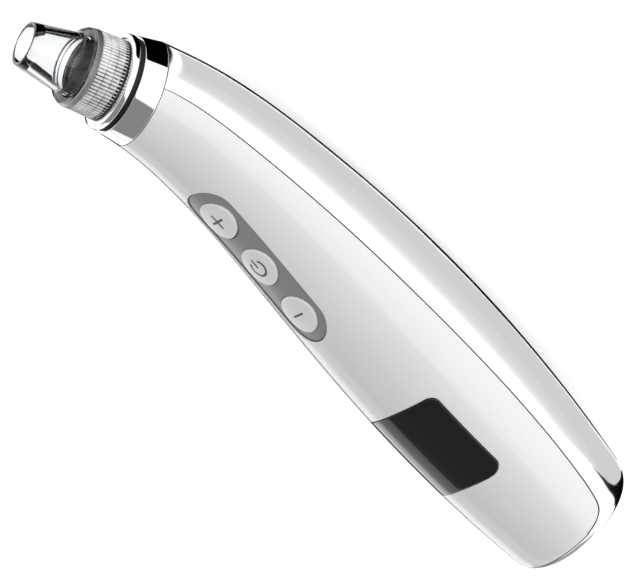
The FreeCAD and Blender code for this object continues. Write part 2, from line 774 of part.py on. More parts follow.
def make_board():
    """Main board with its screws, controller and display module."""
    half = d.board_half_width
    corners = [
        (d.board_rear_x, -half + BOARD_CHAMFER),
        (d.board_rear_x + BOARD_CHAMFER, -half),
        (d.board_front_x - BOARD_CHAMFER, -half),
        (d.board_front_x, -half + BOARD_CHAMFER),
        (d.board_front_x, half - BOARD_CHAMFER),
        (d.board_front_x - BOARD_CHAMFER, half),
        (d.board_rear_x + BOARD_CHAMFER, half),
        (d.board_rear_x, half - BOARD_CHAMFER),
    ]
    under = d.board_top + d.board_thickness
    plate = padded("main_board_plate", corners, d.board_thickness, at(BOARD, 0, 0, -under))
    holes = [
        cylinder("board_hole_%d" % n, d.screw_radius + 0.2, 4.0, at(BOARD, x, y, -under - 1.0))
        for n, (x, y) in enumerate(SCREW_PLACES)
    ]
    keep(cut("main_board_holes", plate, *holes), "main_board")

    screws = []
    for n, (x, y) in enumerate(SCREW_PLACES):
        base = at(BOARD, x, y, -under - SCREW_HEAD_HEIGHT)
        head = cylinder("screw_head_%d" % n, d.screw_head, SCREW_HEAD_HEIGHT, base)
        width, length, height = SCREW_SLOT
        recess = box("screw_slot_%d" % n, width, length, height, base, (-width / 2, -length / 2, -0.01))
        shank = cylinder("screw_shank_%d" % n, d.screw_radius, SCREW_LENGTH, at(BOARD, x, y, -under - 0.1))
        screws.append(cut("screw_%d" % n, fuse("screw_%d" % n, head, shank), recess))
    group = doc.addObject("Part::Compound", "board_screws_group")
    group.Links = screws
    keep(group, "board_screws")

    chip = box(
        "controller_chip", CHIP_SIZE, CHIP_SIZE, CHIP_HEIGHT, BOARD,
        (CHIP_X, -CHIP_SIZE / 2, -under - CHIP_HEIGHT - 0.05),
    )
    keep(chip, "controller_chip")

    length = d.module_length
    half = d.module_half_width
    base = -d.board_top
    module = box(
        "module_case", length, half * 2, d.module_height, BOARD, (d.module_x - length / 2, -half, base)
    )
    screen = box(
        "module_recess", length - SCREEN_FRAME * 2, half * 2 - SCREEN_FRAME * 2, 1.0, BOARD,
        (d.module_x - length / 2 + SCREEN_FRAME, -half + SCREEN_FRAME, base + d.module_height - 0.3),
    )
    keep(cut("display_module", module, screen), "display_module")


# ---------------------------------------------------------------- pump

PRESS_FIT = 0.02
SHAFT_FIT = 0.01
END_CAP_LENGTH = 2.4
BUSH_POCKET = 1.0
MAGNET_ANGLE = 130
WINDING_LENGTH = 1.6
COMMUTATOR_RADIUS = 2.3
COMMUTATOR_LENGTH = 3.2
CORE_SLOT = (0.9, 8.0, 3.6)  # width, reach, start radius
SHAFT_FRONT = 3.5
SHAFT_REAR = 1.6
PIN_ROOT = 1.6
PIN_LENGTH = 5.2
WHEEL_GAP = 1.2


def make_motor():
    """The motor: can, end cap, bushes, magnets and everything on the shaft."""
    rear = d.motor_rear_x
    front = d.motor_front_x
    inside = d.motor_radius - d.can_wall
    can = [
        (d.bush_radius + PRESS_FIT, front),
        (d.motor_radius, front),
        (d.motor_radius, rear),
        (inside, rear),
        (inside, front - d.can_wall),
        (d.bush_radius + BUSH_POCKET, front - d.can_wall),
        (d.bush_radius + BUSH_POCKET, front - d.bush_length),
        (d.bush_radius + PRESS_FIT, front - d.bush_length),
    ]
    keep(turned("motor_can", can, PUMP), "motor_can")

    cap = [
        (d.bush_radius + PRESS_FIT, rear - END_CAP_LENGTH),
        (d.motor_radius, rear - END_CAP_LENGTH),
        (d.motor_radius, rear),
        (inside - PRESS_FIT, rear),
        (inside - PRESS_FIT, rear + 1.0),
        (d.bush_radius + PRESS_FIT, rear + 1.0),
    ]
    keep(turned("motor_end_cap", cap, PUMP), "motor_end_cap")

    for name, place in (("motor_front_bush", front - d.bush_length), ("motor_rear_bush", rear - 1.8)):
        bush = tube(name, d.bush_radius, d.shaft_radius + d.running_gap, d.bush_length, at(PUMP, 0, 0, place))
        keep(bush, name)

    middle = (rear + front) / 2
    start = middle - d.magnet_length / 2
    arcs = []
    for name, side in (("magnet_upper", 0), ("magnet_lower", 180)):
        ring = tube(name, inside - PRESS_FIT, d.magnet_inner, d.magnet_length, at(PUMP, 0, 0, start))
        wedge = cylinder(name + "_wedge", d.motor_radius, d.magnet_length, at(PUMP, 0, 0, start))
        wedge.Angle = MAGNET_ANGLE
        first = side + 180 - MAGNET_ANGLE / 2
        wedge.Placement = wedge.Placement.multiply(Placement(Vector(), Rotation(Vector(0, 0, 1), first)))
        arcs.append(common(name, ring, wedge))
    magnets = doc.addObject("Part::Compound", "motor_magnets_group")
    magnets.Links = arcs
    keep(magnets, "motor_magnets")

    core_start = middle - d.core_length / 2
    bore = d.shaft_radius + SHAFT_FIT
    core = tube("rotor_core", d.core_radius, bore, d.core_length, at(PUMP, 0, 0, core_start))
    width, reach, start_radius = CORE_SLOT
    slots = []
    for n in range(3):
        turn = Placement(Vector(), Rotation(Vector(0, 0, 1), 120 * n))
        place = at(PUMP, 0, 0, core_start - 1.0).multiply(turn)
        slots.append(
            box("core_slot_%d" % n, width, reach, d.core_length + 2.0, place, (-width / 2, start_radius, 0.0))
        )
    keep(cut("rotor_core_slots", core, *slots), "rotor_core")
    windings = []
    for name, place in (("winding_rear", core_start - WINDING_LENGTH), ("winding_front", core_start + d.core_length)):
        windings.append(tube(name, d.core_radius - 1.0, bore, WINDING_LENGTH, at(PUMP, 0, 0, place)))
    coils = doc.addObject("Part::Compound", "rotor_windings_group")
    coils.Links = windings
    keep(coils, "rotor_windings")
    commutator_start = core_start - WINDING_LENGTH - COMMUTATOR_LENGTH - 0.2
    commutator = tube(
        "commutator", COMMUTATOR_RADIUS, bore, COMMUTATOR_LENGTH, at(PUMP, 0, 0, commutator_start)
    )
    keep(commutator, "commutator")

    shaft_length = front + SHAFT_FRONT - rear + SHAFT_REAR
    shaft = cylinder("rotor_shaft", d.shaft_radius, shaft_length, at(PUMP, 0, 0, rear - SHAFT_REAR))
    keep(shaft, "rotor_shaft")

    wheel_start = front + WHEEL_GAP
    wheel = tube("eccentric_wheel", d.eccentric_radius, bore, d.eccentric_length, at(PUMP, 0, 0, wheel_start))
    pin_foot = at(PUMP, -d.pin_offset, 0, wheel_start + d.eccentric_length)
    pin_place = pin_foot.multiply(Placement(Vector(), Rotation(Vector(0, 1, 0), float(d.pin_tilt))))
    pin = cylinder("crank_pin", d.pin_radius, PIN_LENGTH, at(pin_place, 0, 0, -PIN_ROOT))
    pin_hole = cylinder("crank_pin_hole", d.pin_radius + SHAFT_FIT, PIN_LENGTH + 1.0, at(pin_place, 0, 0, -PIN_ROOT))
    blank = cylinder("eccentric_front", d.eccentric_radius, 1.4, at(PUMP, 0, 0, wheel_start + d.eccentric_length))
    keep(cut("eccentric", fuse("eccentric", wheel, blank), pin_hole), "eccentric_wheel")
    keep(pin, "crank_pin")


def cup_places():
    """Where the three diaphragm cups stand, as angles about the pump's axis."""
    return [math.radians(90 + 120 * n) for n in range(3)]


def on_cup_circle(angle, depth):
    """The placement of one cup's axis."""
    radius = float(d.cup_circle)
    return at(PUMP, radius * math.cos(angle), radius * math.sin(angle), depth)


WOBBLE_THICKNESS = 1.5
WOBBLE_HUB_RADIUS = 3.2
WOBBLE_SOCKET_RADIUS = 2.5
WOBBLE_PAD_RADIUS = 2.2
WOBBLE_ARM_WIDTH = 2.0
CUP_WALL = 0.6
CAP_WALL = 1.5


def make_pump_head():
    """Crank case, wobble plate, diaphragm, valve plate and cap."""
    front = d.motor_front_x
    case_end = front + d.case_length
    case = tube("pump_case", d.pump_radius, d.pump_radius - d.case_wall, d.case_length, at(PUMP, 0, 0, front))
    window = box(
        "case_window", 6.0, 30.0, 5.0, at(PUMP, 0, 0, front + 3.0), (-3.0, -15.0, 0.0)
    )
    keep(cut("pump_case_window", case, window), "pump_case")

    sheet_start = case_end
    cups_start = sheet_start - d.cup_depth
    plate_start = cups_start - WOBBLE_THICKNESS
    hub = cylinder("wobble_hub", WOBBLE_HUB_RADIUS, WOBBLE_THICKNESS, at(PUMP, 0, 0, plate_start))
    arms = []
    for n, angle in enumerate(cup_places()):
        pad_place = on_cup_circle(angle, plate_start)
        arms.append(cylinder("wobble_pad_%d" % n, WOBBLE_PAD_RADIUS, WOBBLE_THICKNESS, pad_place))
        turn = Placement(Vector(), Rotation(Vector(0, 0, 1), math.degrees(angle)))
        arm_place = at(PUMP, 0, 0, plate_start).multiply(turn)
        corner = (0.0, -WOBBLE_ARM_WIDTH / 2, 0.0)
        arms.append(
            box("wobble_arm_%d" % n, d.cup_circle, WOBBLE_ARM_WIDTH, WOBBLE_THICKNESS, arm_place, corner)
        )
    plate = fuse("wobble_plate", hub, *arms)
    socket = cylinder("wobble_socket", WOBBLE_SOCKET_RADIUS, 4.0, at(PUMP, 0, 0, plate_start - 1.0))
    keep(cut("wobble_plate", plate, socket), "wobble_plate")

    skin = cylinder("diaphragm_sheet", d.pump_radius, d.diaphragm_thickness, at(PUMP, 0, 0, sheet_start))
    cups = []
    hollows = []
    for n, angle in enumerate(cup_places()):
        cups.append(cylinder("cup_%d" % n, d.cup_radius, d.cup_depth, on_cup_circle(angle, cups_start)))
        hollows.append(
            cylinder(
                "cup_hollow_%d" % n, d.cup_radius - CUP_WALL, 4.0, on_cup_circle(angle, cups_start + CUP_WALL)
            )
        )
    keep(cut("diaphragm", fuse("diaphragm", skin, *cups), *hollows), "pump_diaphragm")

    valve_start = sheet_start + d.diaphragm_thickness
    valve = cylinder("valve_disc", d.pump_radius, d.valve_thickness, at(PUMP, 0, 0, valve_start))
    ports = [cylinder("valve_centre", 1.2, 6.0, at(PUMP, 0, 0, valve_start - 1.0))]
    for n, angle in enumerate(cup_places()):
        ports.append(cylinder("valve_port_%d" % n, 0.8, 6.0, on_cup_circle(angle, valve_start - 1.0)))
    keep(cut("valve_plate", valve, *ports), "valve_plate")

    cap_start = valve_start + d.valve_thickness
    cap_end = cap_start + d.cap_length
    cap = [
        (d.barb_bore, cap_start + CAP_WALL),
        (d.pump_radius - CAP_WALL, cap_start + CAP_WALL),
        (d.pump_radius - CAP_WALL, cap_start),
        (d.pump_radius, cap_start),
        (d.pump_radius, cap_end - 1.0),
        (d.pump_radius - 1.0, cap_end),
        (d.barb_radius, cap_end),
        (d.barb_radius, cap_end + d.inlet_length),
        (d.barb_bore, cap_end + d.inlet_length),
    ]
    keep(turned("pump_cap", cap, PUMP), "pump_cap")
    return cap_end


def make_cradle(label, radius, start, end, height, axis):
    """A trough under a round part, on ribs that stand on the rear shell's inside."""
    trough = cylinder(label + "_trough", radius + d.cradle_wall, end - start, at(axis, 0, 0, start))
    ribs = []
    last_rib = 3
    for n in range(last_rib + 1):
        place = start + (end - start - d.rib_thickness) * (n / last_rib)
        rib = box("%s_rib_%d" % (label, n), d.rib_thickness, 16.0, 30.0, Placement(), (place, -8.0, height - 30.0))
        ribs.append(common("%s_rib_%d" % (label, n), rib, handle_form(d.wall + 0.05)))
    bore = cylinder(label + "_bore", radius, end - start + 2.0, at(axis, 0, 0, start - 1.0))
    upper = box(label + "_upper", end - start + 2.0, 60.0, 40.0, Placement(), (start - 1.0, -30.0, height))
    return cut(label, fuse(label, trough, *ribs), bore, upper)


def make_mounting():
    """Rubber sleeves and the cradles that hold the pump and the battery."""
    sleeves = []
    for n, start in enumerate((d.motor_rear_x + 3.0, d.motor_front_x - 8.0)):
        sleeves.append(tube("sleeve_%d" % n, d.motor_radius + d.sleeve_thickness, d.motor_radius + 0.02,
                            d.sleeve_length, at(PUMP, 0, 0, start)))
    group = doc.addObject("Part::Compound", "pump_sleeves_group")
    group.Links = sleeves
    keep(group, "pump_sleeves")

    pump_cradle = make_cradle(
        "pump_cradle", d.motor_radius + d.sleeve_thickness + 0.05,
        d.motor_rear_x + 1.0, d.motor_front_x - 1.0, float(d.pump_z) - 2, PUMP,
    )
    keep(pump_cradle, "pump_cradle")

    cell_axis = Placement(Vector(0, 0, float(d.cell_z)), Rotation(Vector(0, 1, 0), 90))
    cell_rear = d.cell_front_x - d.cell_length
    trough = make_cradle(
        "battery_cradle", d.cell_radius + 0.1, cell_rear - 0.2, d.cell_front_x - 3.0, float(d.cell_z) - 1, cell_axis
    )
    post_height = d.port_z - d.port_half_height - 2.05
    shelf = []
    for side in (-1, 1):
        low_y = 4.0 if side > 0 else -7.0
        shelf.append(box("stop_%d" % side, 1.4, 3.0, post_height - 9.0, Placement(), (cell_rear - 1.6, low_y, 9.0)))
        shelf.append(box("arm_%d" % side, 13.0, 3.0, 1.2, Placement(), (cell_rear - 13.2, low_y, post_height - 1.2)))
    keep(fuse("battery_cradle_shelf", trough, *shelf), "battery_cradle")
    cell = [
        (0.0, d.cell_front_x - d.cell_length),
        (d.cell_radius - 0.5, d.cell_front_x - d.cell_length),
        (d.cell_radius, d.cell_front_x - d.cell_length + 0.5),
        (d.cell_radius, d.cell_front_x - 1.8),
        (d.cell_radius - 0.8, d.cell_front_x - 1.3),
        (2.8, d.cell_front_x - 1.3),
        (2.8, d.cell_front_x),
        (0.0, d.cell_front_x),
    ]
    keep(turned("battery_cell", cell, cell_axis), "battery_cell")


def make_charging():
    """Charging port, its tongue and its small board at the tail."""
    length = d.port_length
    face = d.tail_x + d.port_recess
    half_width = d.port_half_width
    half_height = d.port_half_height
    shell = box("port_block", length, half_width * 2, half_height * 2, Placement(),
                (face, -half_width, d.port_z - half_height))
    doc.recompute()
    long_edges = [
        (n + 1, 1.2, 1.2) for n, edge in enumerate(shell.Shape.Edges)
        if abs(edge.tangentAt(0).x) > 0.9
    ]
    rounded = doc.addObject("Part::Fillet", "port_rounded")
    rounded.Base = shell
    rounded.Edges = long_edges
    hollow = box("port_hollow", length - 1.0, half_width * 2 - 0.6, half_height * 2 - 0.6, Placement(),
                 (face - 0.5, -half_width + 0.3, d.port_z - half_height + 0.3))
    doc.recompute()
    hollow_edges = [
        (n + 1, 0.9, 0.9) for n, edge in enumerate(hollow.Shape.Edges)
        if abs(edge.tangentAt(0).x) > 0.9
    ]
    hollow_rounded = doc.addObject("Part::Fillet", "port_hollow_rounded")
    hollow_rounded.Base = hollow
    hollow_rounded.Edges = hollow_edges
    keep(cut("charging_port", rounded, hollow_rounded), "charging_port")

    tongue = box("port_tongue", length - 2.2, half_width * 2 - 2.4, 0.7, Placement(),
                 (face + 0.7, -half_width + 1.2, d.port_z - 0.35))
    keep(tongue, "port_tongue")

    board = box("charge_board", 13.0, 15.0, 1.0, Placement(),
                (d.tail_x + d.wall + 0.2, -7.5, d.port_z - half_height - 1.02))
    keep(board, "charge_board")


def make_hose_and_leads(cap_end):
    """The silicone hose from the pump to the spigot, and the insulated leads."""
    pump_z = float(d.pump_z)
    start = float(cap_end) + 0.4
    meet = MOUTH + HEAD_AXIS * ((pump_z - MOUTH.z) / HEAD_AXIS.z)
    end = MOUTH - HEAD_AXIS * (float(d.flange_start + d.flange_length) + 5.4)
    path = bent_path([(start, 0, pump_z), (meet.x, 0, pump_z), (end.x, 0, end.z)])
    hose = swept(path, float(d.hose_radius)).cut(swept(path, float(d.hose_bore)))
    keep(feature("suction_hose", hose), "suction_hose")

    wire = float(d.wire_radius)
    motor_back = float(d.motor_rear_x) - 2.4
    board_z = float(d.button_middle_z) - float(d.board_top) - 1.4
    lean = math.tan(math.radians(float(d.board_tilt)))
    motor_wires = []
    for side in (-1, 1):
        y = 5.0 * side
        top_x = -23.5
        top = board_z + (float(d.button_middle_x) - top_x) * lean
        motor_wires.append(swept(bent_path([
            (motor_back, y, pump_z + 3.0), (top_x, y, pump_z + 3.0), (top_x, y, top),
        ]), wire))
    keep(feature("motor_leads", Part.Compound(motor_wires)), "motor_leads")

    power_wires = []
    for side in (-1, 1):
        y = 4.0 * side
        foot_x = float(d.tail_x) + 12.0
        top_x = -67.5
        top = board_z + (float(d.button_middle_x) - top_x) * lean
        foot_z = float(d.port_z) - float(d.port_half_height) + 0.05
        power_wires.append(swept(bent_path([
            (foot_x, y, foot_z), (foot_x, y, foot_z + 6.5), (top_x, y, foot_z + 6.5), (top_x, y, top),
        ]), wire))
    keep(feature("power_leads", Part.Compound(power_wires)), "power_leads")

    cell_back = float(d.cell_front_x) - float(d.cell_length)
    cell_wires = []
    for side in (-1, 1):
        y = 3.0 * side
        z = float(d.cell_z)
        board_under = float(d.port_z) - float(d.port_half_height) - 1.05
        cell_wires.append(swept(bent_path([
            (cell_back, y, z - 4.0), (cell_back - 5.5, y, z - 4.0), (cell_back - 5.5, y, board_under),
        ]), wire))
    keep(feature("battery_leads", Part.Compound(cell_wires)), "battery_leads")


# ---------------------------------------------------------------- checks and export

def check_and_export():
    """Stop on any failed object, then write one STEP file per sub-part."""
    doc.recompute()
    for item in doc.Objects:
        if "Invalid" in item.State or "Error" in item.State:
            raise RuntimeError("%s (%s) failed: %s" % (item.Name, item.Label, item.State))
    os.makedirs("parts", exist_ok=True)
    for item in parts:
        shape = item.Shape
        if shape.isNull() or not shape.isValid() or not shape.Solids:
            raise RuntimeError("%s has no valid solid" % item.Label)
        shape.exportStep("parts/%s.step" % item.Label)
        print("%-18s solids %d  volume %8.1f mm3" % (item.Label, len(shape.Solids), shape.Volume))


def main():
    outside = handle_form(Size(0.0, "0"))
    make_shells(outside, handle_form(d.wall))
    make_panel()
    make_window(outside)
    make_tip()
    make_head()
    make_buttons()
    make_board()
    make_motor()
    cap_end = make_pump_head()
    make_mounting()
    make_charging()
    make_hose_and_leads(cap_end)
    check_and_export()


main()
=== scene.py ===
import json
import math

import bmesh
import bpy
import numpy as np
from mathutils import Matrix, Vector


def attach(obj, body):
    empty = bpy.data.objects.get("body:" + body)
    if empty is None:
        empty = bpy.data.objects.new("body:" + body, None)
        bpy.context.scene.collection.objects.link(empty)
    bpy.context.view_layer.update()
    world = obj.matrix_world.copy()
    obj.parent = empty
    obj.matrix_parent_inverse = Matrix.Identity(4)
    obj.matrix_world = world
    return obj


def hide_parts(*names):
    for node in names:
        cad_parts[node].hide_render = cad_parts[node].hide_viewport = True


# A cordless blackhead vacuum extractor, lying on its back on a pale floor.
# Lengths in this script are in millimetres, in the CAD model's frame, and become metres in make_mesh.

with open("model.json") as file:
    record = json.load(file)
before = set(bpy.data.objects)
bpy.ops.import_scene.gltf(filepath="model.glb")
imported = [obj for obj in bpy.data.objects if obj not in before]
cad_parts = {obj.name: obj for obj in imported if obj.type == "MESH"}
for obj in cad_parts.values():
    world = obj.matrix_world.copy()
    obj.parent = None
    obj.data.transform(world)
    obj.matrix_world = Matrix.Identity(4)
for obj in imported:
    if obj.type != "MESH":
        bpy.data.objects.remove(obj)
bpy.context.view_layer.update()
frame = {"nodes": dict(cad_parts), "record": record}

MM = 0.001

# ---------------------------------------------------------------- sizes shared with the CAD model

# Sections of the handle: x and z of the middle, lean in degrees, half width, half depth.
SECTIONS = [
    (63.0, 24.6, 23.0, 13.6, 13.6),
    (54.9, 22.4, 17.5, 14.5, 14.4),
    (45.9, 20.7, 11.5, 15.5, 15.35),
    (35.0, 19.6, 6.0, 16.5, 16.4),
    (20.0, 19.2, 1.5, 17.9, 17.8),
    (2.0, 19.65, 0.0, 19.65, 19.45),
    (-18.0, 20.8, 0.0, 21.1, 20.8),
    (-38.0, 22.2, 0.0, 21.7, 21.35),
    (-58.0, 23.7, 0.0, 21.25, 20.9),
    (-76.0, 25.1, 0.0, 19.9, 19.6),
    (-94.9, 26.6, 0.0, 17.6, 17.3),
]
# Side view of the line where the two shells meet.
PARTING_LINE = [
    (72.0, 32.2), (61.75, 27.5), (42.6, 24.2), (16.6, 23.4), (-22.4, 24.8), (-61.4, 26.9),
    (-78.0, 28.4), (-85.0, 29.4), (-88.8, 30.9), (-90.5, 34.0), (-91.1, 38.0), (-91.2, 43.0), (-91.25, 50.0),
]
PARTING_GAP = 0.3
TAIL_X = -94.9
TAIL_ROUND = 10.2
TAIL_SQUARENESS_WIDE = 4.9
TAIL_SQUARENESS_DEEP = 4.3
WALL = 1.7

HEAD_TILT = math.radians(23.0)
MOUTH = np.array([92.65, 0.0, 37.2])
HEAD_AXIS = np.array([math.cos(HEAD_TILT), 0.0, math.sin(HEAD_TILT)])
HEAD_UP = np.array([-math.sin(HEAD_TILT), 0.0, math.cos(HEAD_TILT)])

BOARD_TILT = math.radians(6.3)
BOARD_NORMAL = np.array([math.sin(BOARD_TILT), 0.0, math.cos(BOARD_TILT)])
BUTTON_PITCH = 15.1
BUTTON_MIDDLE_X = 13.5
BUTTON_RADIUS = 5.4
BUTTON_SINK = 0.2
SLOT_FRONT_X = 30.6
SLOT_REAR_X = -2.8
SLOT_HALF_WIDTH = 7.1
WINDOW_FRONT_X = -35.3
WINDOW_REAR_X = -61.4
WINDOW_HALF_WIDTH = 14.3
WINDOW_BOW = 1.9
WINDOW_CORNER = 2.6
SEAT_GAP = 0.12
LIP = 0.3


# ---------------------------------------------------------------- curves

class Spline:
    """A natural cubic spline through points, each a row of numbers, by chord length."""

    def __init__(self, points):
        self.points = np.array(points, float)
        steps = np.linalg.norm(np.diff(self.points[:, :2], axis=0), axis=1)
        self.knots = np.concatenate([[0.0], np.cumsum(steps)])
        count = len(points)
        rows = np.eye(count)
        right = np.zeros_like(self.points)
        for n in range(1, count - 1):
            before = steps[n - 1]
            after = steps[n]
            rows[n, n - 1:n + 2] = before, 2 * (before + after), after
            slope_after = (self.points[n + 1] - self.points[n]) / after
            slope_before = (self.points[n] - self.points[n - 1]) / before
            right[n] = 6 * (slope_after - slope_before)
        self.bends = np.linalg.solve(rows, right)

    def at(self, place):
        """The row of numbers at a distance along the chord."""
        place = np.clip(np.asarray(place, float), 0.0, self.knots[-1])
        n = np.clip(np.searchsorted(self.knots, place) - 1, 0, len(self.knots) - 2)
        width = self.knots[n + 1] - self.knots[n]
        left = ((self.knots[n + 1] - place) / width)[..., None]
        right = ((place - self.knots[n]) / width)[..., None]
        scale = (width ** 2 / 6)[..., None]
        straight = left * self.points[n] + right * self.points[n + 1]
        curved = (left ** 3 - left) * self.bends[n] + (right ** 3 - right) * self.bends[n + 1]
        return straight + curved * scale


SPINE = Spline(SECTIONS)
SPINE_END = SPINE.knots[-1]
_parting = Spline(PARTING_LINE)
_parting_points = _parting.at(np.linspace(0, _parting.knots[-1], 1200))


def parting_height(x, side):
    """Height of the parting line over x, moved half the gap up (side 1) or down (side -1)."""
    shift = side * PARTING_GAP / 2
    return np.interp(np.asarray(x) - shift, _parting_points[::-1, 0], _parting_points[::-1, 1]) + shift


def spine_place_of_x(x):
    """Distance along the spine whose middle has this x."""
    places = np.linspace(0, SPINE_END, 2000)
    return np.interp(-np.asarray(x, float), -SPINE.at(places)[:, 0], places)


def section_at(place):
    """Middle, upward direction, half width and half depth of the handle's section."""
    x, z, lean, half_width, half_depth = np.moveaxis(SPINE.at(place), -1, 0)
    inward = np.clip((TAIL_X + TAIL_ROUND - x) / TAIL_ROUND, 0.0, 1.0)
    half_width = half_width * (1 - inward ** TAIL_SQUARENESS_WIDE) ** (1 / TAIL_SQUARENESS_WIDE)
    half_depth = half_depth * (1 - inward ** TAIL_SQUARENESS_DEEP) ** (1 / TAIL_SQUARENESS_DEEP)
    return x, z, np.radians(lean), half_width, half_depth


def skin(place, angle, inset=0.0):
    """A point of the handle's surface. The angle runs from +Y over the front."""
    x, z, lean, half_width, half_depth = section_at(place)
    across = np.maximum(half_width - inset, 0.0) * np.cos(angle)
    up = np.maximum(half_depth - inset, 0.0) * np.sin(angle)
    return np.stack([x - up * np.sin(lean), across + 0 * up, z + up * np.cos(lean)], -1)


def place_and_angle(x, y):
    """Where on the front surface the point over x, y lies."""
    x = np.asarray(x, float)
    y = np.asarray(y, float)
    place = spine_place_of_x(x)
    for _ in range(6):
        _, _, lean, half_width, half_depth = section_at(place)
        side = np.clip(y / half_width, -1, 1)
        rise = np.sqrt(1 - side ** 2)
        place = spine_place_of_x(x + half_depth * rise * np.sin(lean))
    return place, np.arccos(side)


def front_point(x, y, inset=0.0):
    """The point of the front surface over x, y, sunk by inset."""
    place, angle = place_and_angle(x, y)
    return skin(place, angle, inset)


def parting_angle(place, side):
    """Angle at which the section meets the parting line, or the top where it doesn't."""
    x, z, lean, _, half_depth = section_at(place)
    rise = np.zeros_like(x)
    for _ in range(8):
        height = parting_height(x - half_depth * rise * np.sin(lean), side)
        rise = np.clip((height - z) / np.maximum(half_depth * np.cos(lean), 1e-6), -1, 1)
    return np.arcsin(rise)


# ---------------------------------------------------------------- mesh helpers

def make_mesh(name, points, faces):
    """A mesh object in metres from points in millimetres."""
    mesh = bpy.data.meshes.new(name)
    mesh.from_pydata([tuple(p) for p in np.asarray(points) * MM], [], faces)
    mesh.validate()
    piece = bpy.data.objects.new(name, mesh)
    bpy.context.scene.collection.objects.link(piece)
    tidy_mesh(piece)
    mesh.polygons.foreach_set("use_smooth", [True] * len(mesh.polygons))
    return piece


def tidy_mesh(piece, distance=1e-6):
    """Merge points that coincide and turn every face outwards."""
    work = bmesh.new()
    work.from_mesh(piece.data)
    bmesh.ops.remove_doubles(work, verts=work.verts, dist=distance)
    bmesh.ops.dissolve_degenerate(work, dist=1e-8, edges=work.edges)
    bmesh.ops.recalc_face_normals(work, faces=work.faces)
    work.to_mesh(piece.data)
    work.free()


def modifier(piece, kind, **settings):
    """Add a modifier with its settings."""
    item = piece.modifiers.new(kind.title(), kind)
    for name, value in settings.items():
        setattr(item, name, value)
    return item


def apply_modifiers(piece):
    """Turn the piece's modifiers into its mesh."""
    graph = bpy.context.evaluated_depsgraph_get()
    mesh = bpy.data.meshes.new_from_object(piece.evaluated_get(graph))
    piece.modifiers.clear()
    old = piece.data
    piece.data = mesh
    bpy.data.meshes.remove(old)
    return piece


def grid_faces(rows, columns, wrap=False, start=0):
    """Faces of a grid of points laid out row by row."""
    faces = []
    last = columns if wrap else columns - 1
    for row in range(rows - 1):
        for column in range(last):
            following = (column + 1) % columns
            low = start + row * columns
            high = low + columns
            faces.append((low + column, low + following, high + following, high + column))
    return faces


def rounded(corners, radius, steps=5, closed=True):
    """An outline whose corners are turned into small arcs."""
    corners = [np.array(corner, float) for corner in corners]
    result = []
    count = len(corners)
    for n, corner in enumerate(corners):
        if not closed and n in (0, count - 1):
            result.append(corner)
            continue
        before = corners[n - 1] - corner
        after = corners[(n + 1) % count] - corner
        reach = min(radius, 0.45 * np.linalg.norm(before), 0.45 * np.linalg.norm(after))
        start = corner + before / np.linalg.norm(before) * reach
        end = corner + after / np.linalg.norm(after) * reach
        for step in range(steps + 1):
            share = step / steps
            result.append((1 - share) ** 2 * start + 2 * share * (1 - share) * corner + share ** 2 * end)
    return result


def head_point(radius, depth, angle):
    """A point round the head's axis, at a depth behind the tip's mouth."""
    radius = np.asarray(radius, float)[..., None]
    across = np.cos(angle)[..., None] * np.array([0.0, 1.0, 0.0])
    up = np.sin(angle)[..., None] * HEAD_UP
    return MOUTH - np.asarray(depth, float)[..., None] * HEAD_AXIS + radius * (across + up)


def lathe(name, outline, segments=192, ripple=None, closed=True):
    """A piece turned about the head's axis from an outline of radius and depth."""
    outline = np.array(outline)
    angles = np.linspace(0, 2 * math.pi, segments, endpoint=False)
    radius = np.repeat(outline[:, :1], segments, axis=1)
    depth = np.repeat(outline[:, 1:], segments, axis=1)
    turn = np.repeat(angles[None, :], len(outline), axis=0)
    if ripple is not None:
        radius = radius + ripple(radius, depth, turn)
    points = head_point(radius, depth, turn).reshape(-1, 3)
    faces = grid_faces(len(outline), segments, wrap=True)
    if closed:
        last = (len(outline) - 1) * segments
        for n in range(segments):
            following = (n + 1) % segments
            faces.append((last + n, last + following, following, n))
    return make_mesh(name, points, faces)


# ---------------------------------------------------------------- outlines on the front surface

def arc(centre, radius, start, end, count):
    """Points of an arc, by angles in degrees."""
    turns = np.radians(np.linspace(start, end, count))
    return [(centre[0] + radius * math.cos(t), centre[1] + radius * math.sin(t)) for t in turns]


def spread(points, count):
    """Points along a polyline, evenly spaced, without the last one."""
    points = np.array(points)
    steps = np.linalg.norm(np.diff(points, axis=0), axis=1)
    along = np.concatenate([[0.0], np.cumsum(steps)])
    wanted = np.linspace(0, along[-1], count, endpoint=False)
    return np.stack([np.interp(wanted, along, points[:, axis]) for axis in (0, 1)], -1)


def slot_sides(grow=0.0):
    """The button slot's outline as four sides, each from one corner of its frame to the next."""
    half = SLOT_HALF_WIDTH + grow
    front = (SLOT_FRONT_X, 0.0)
    rear = (SLOT_REAR_X, 0.0)
    return [
        arc(front, half, -45, 45, 40),
        arc(front, half, 45, 90, 20) + arc(rear, half, 90, 135, 20),
        arc(rear, half, 135, 225, 40),
        arc(rear, half, 225, 270, 20) + arc(front, half, 270, 315, 20),
    ]


def fillet(corner, toward_before, toward_after, radius, count=24):
    """Points of the arc that rounds a corner between two straight lines."""
    corner = np.array(corner, float)
    before = np.array(toward_before, float) / np.linalg.norm(toward_before)
    after = np.array(toward_after, float) / np.linalg.norm(toward_after)
    half_turn = math.acos(float(before @ after)) / 2
    middle = (before + after) / np.linalg.norm(before + after)
    centre = corner + middle * radius / math.sin(half_turn)
    reach = radius / math.tan(half_turn)
    start = corner + before * reach - centre
    end = corner + after * reach - centre
    whole = math.acos(float(start @ end) / radius ** 2)
    result = []
    for share in np.linspace(0, 1, count):
        weight = math.sin((1 - share) * whole), math.sin(share * whole)
        result.append(tuple(centre + (start * weight[0] + end * weight[1]) / math.sin(whole)))
    return result


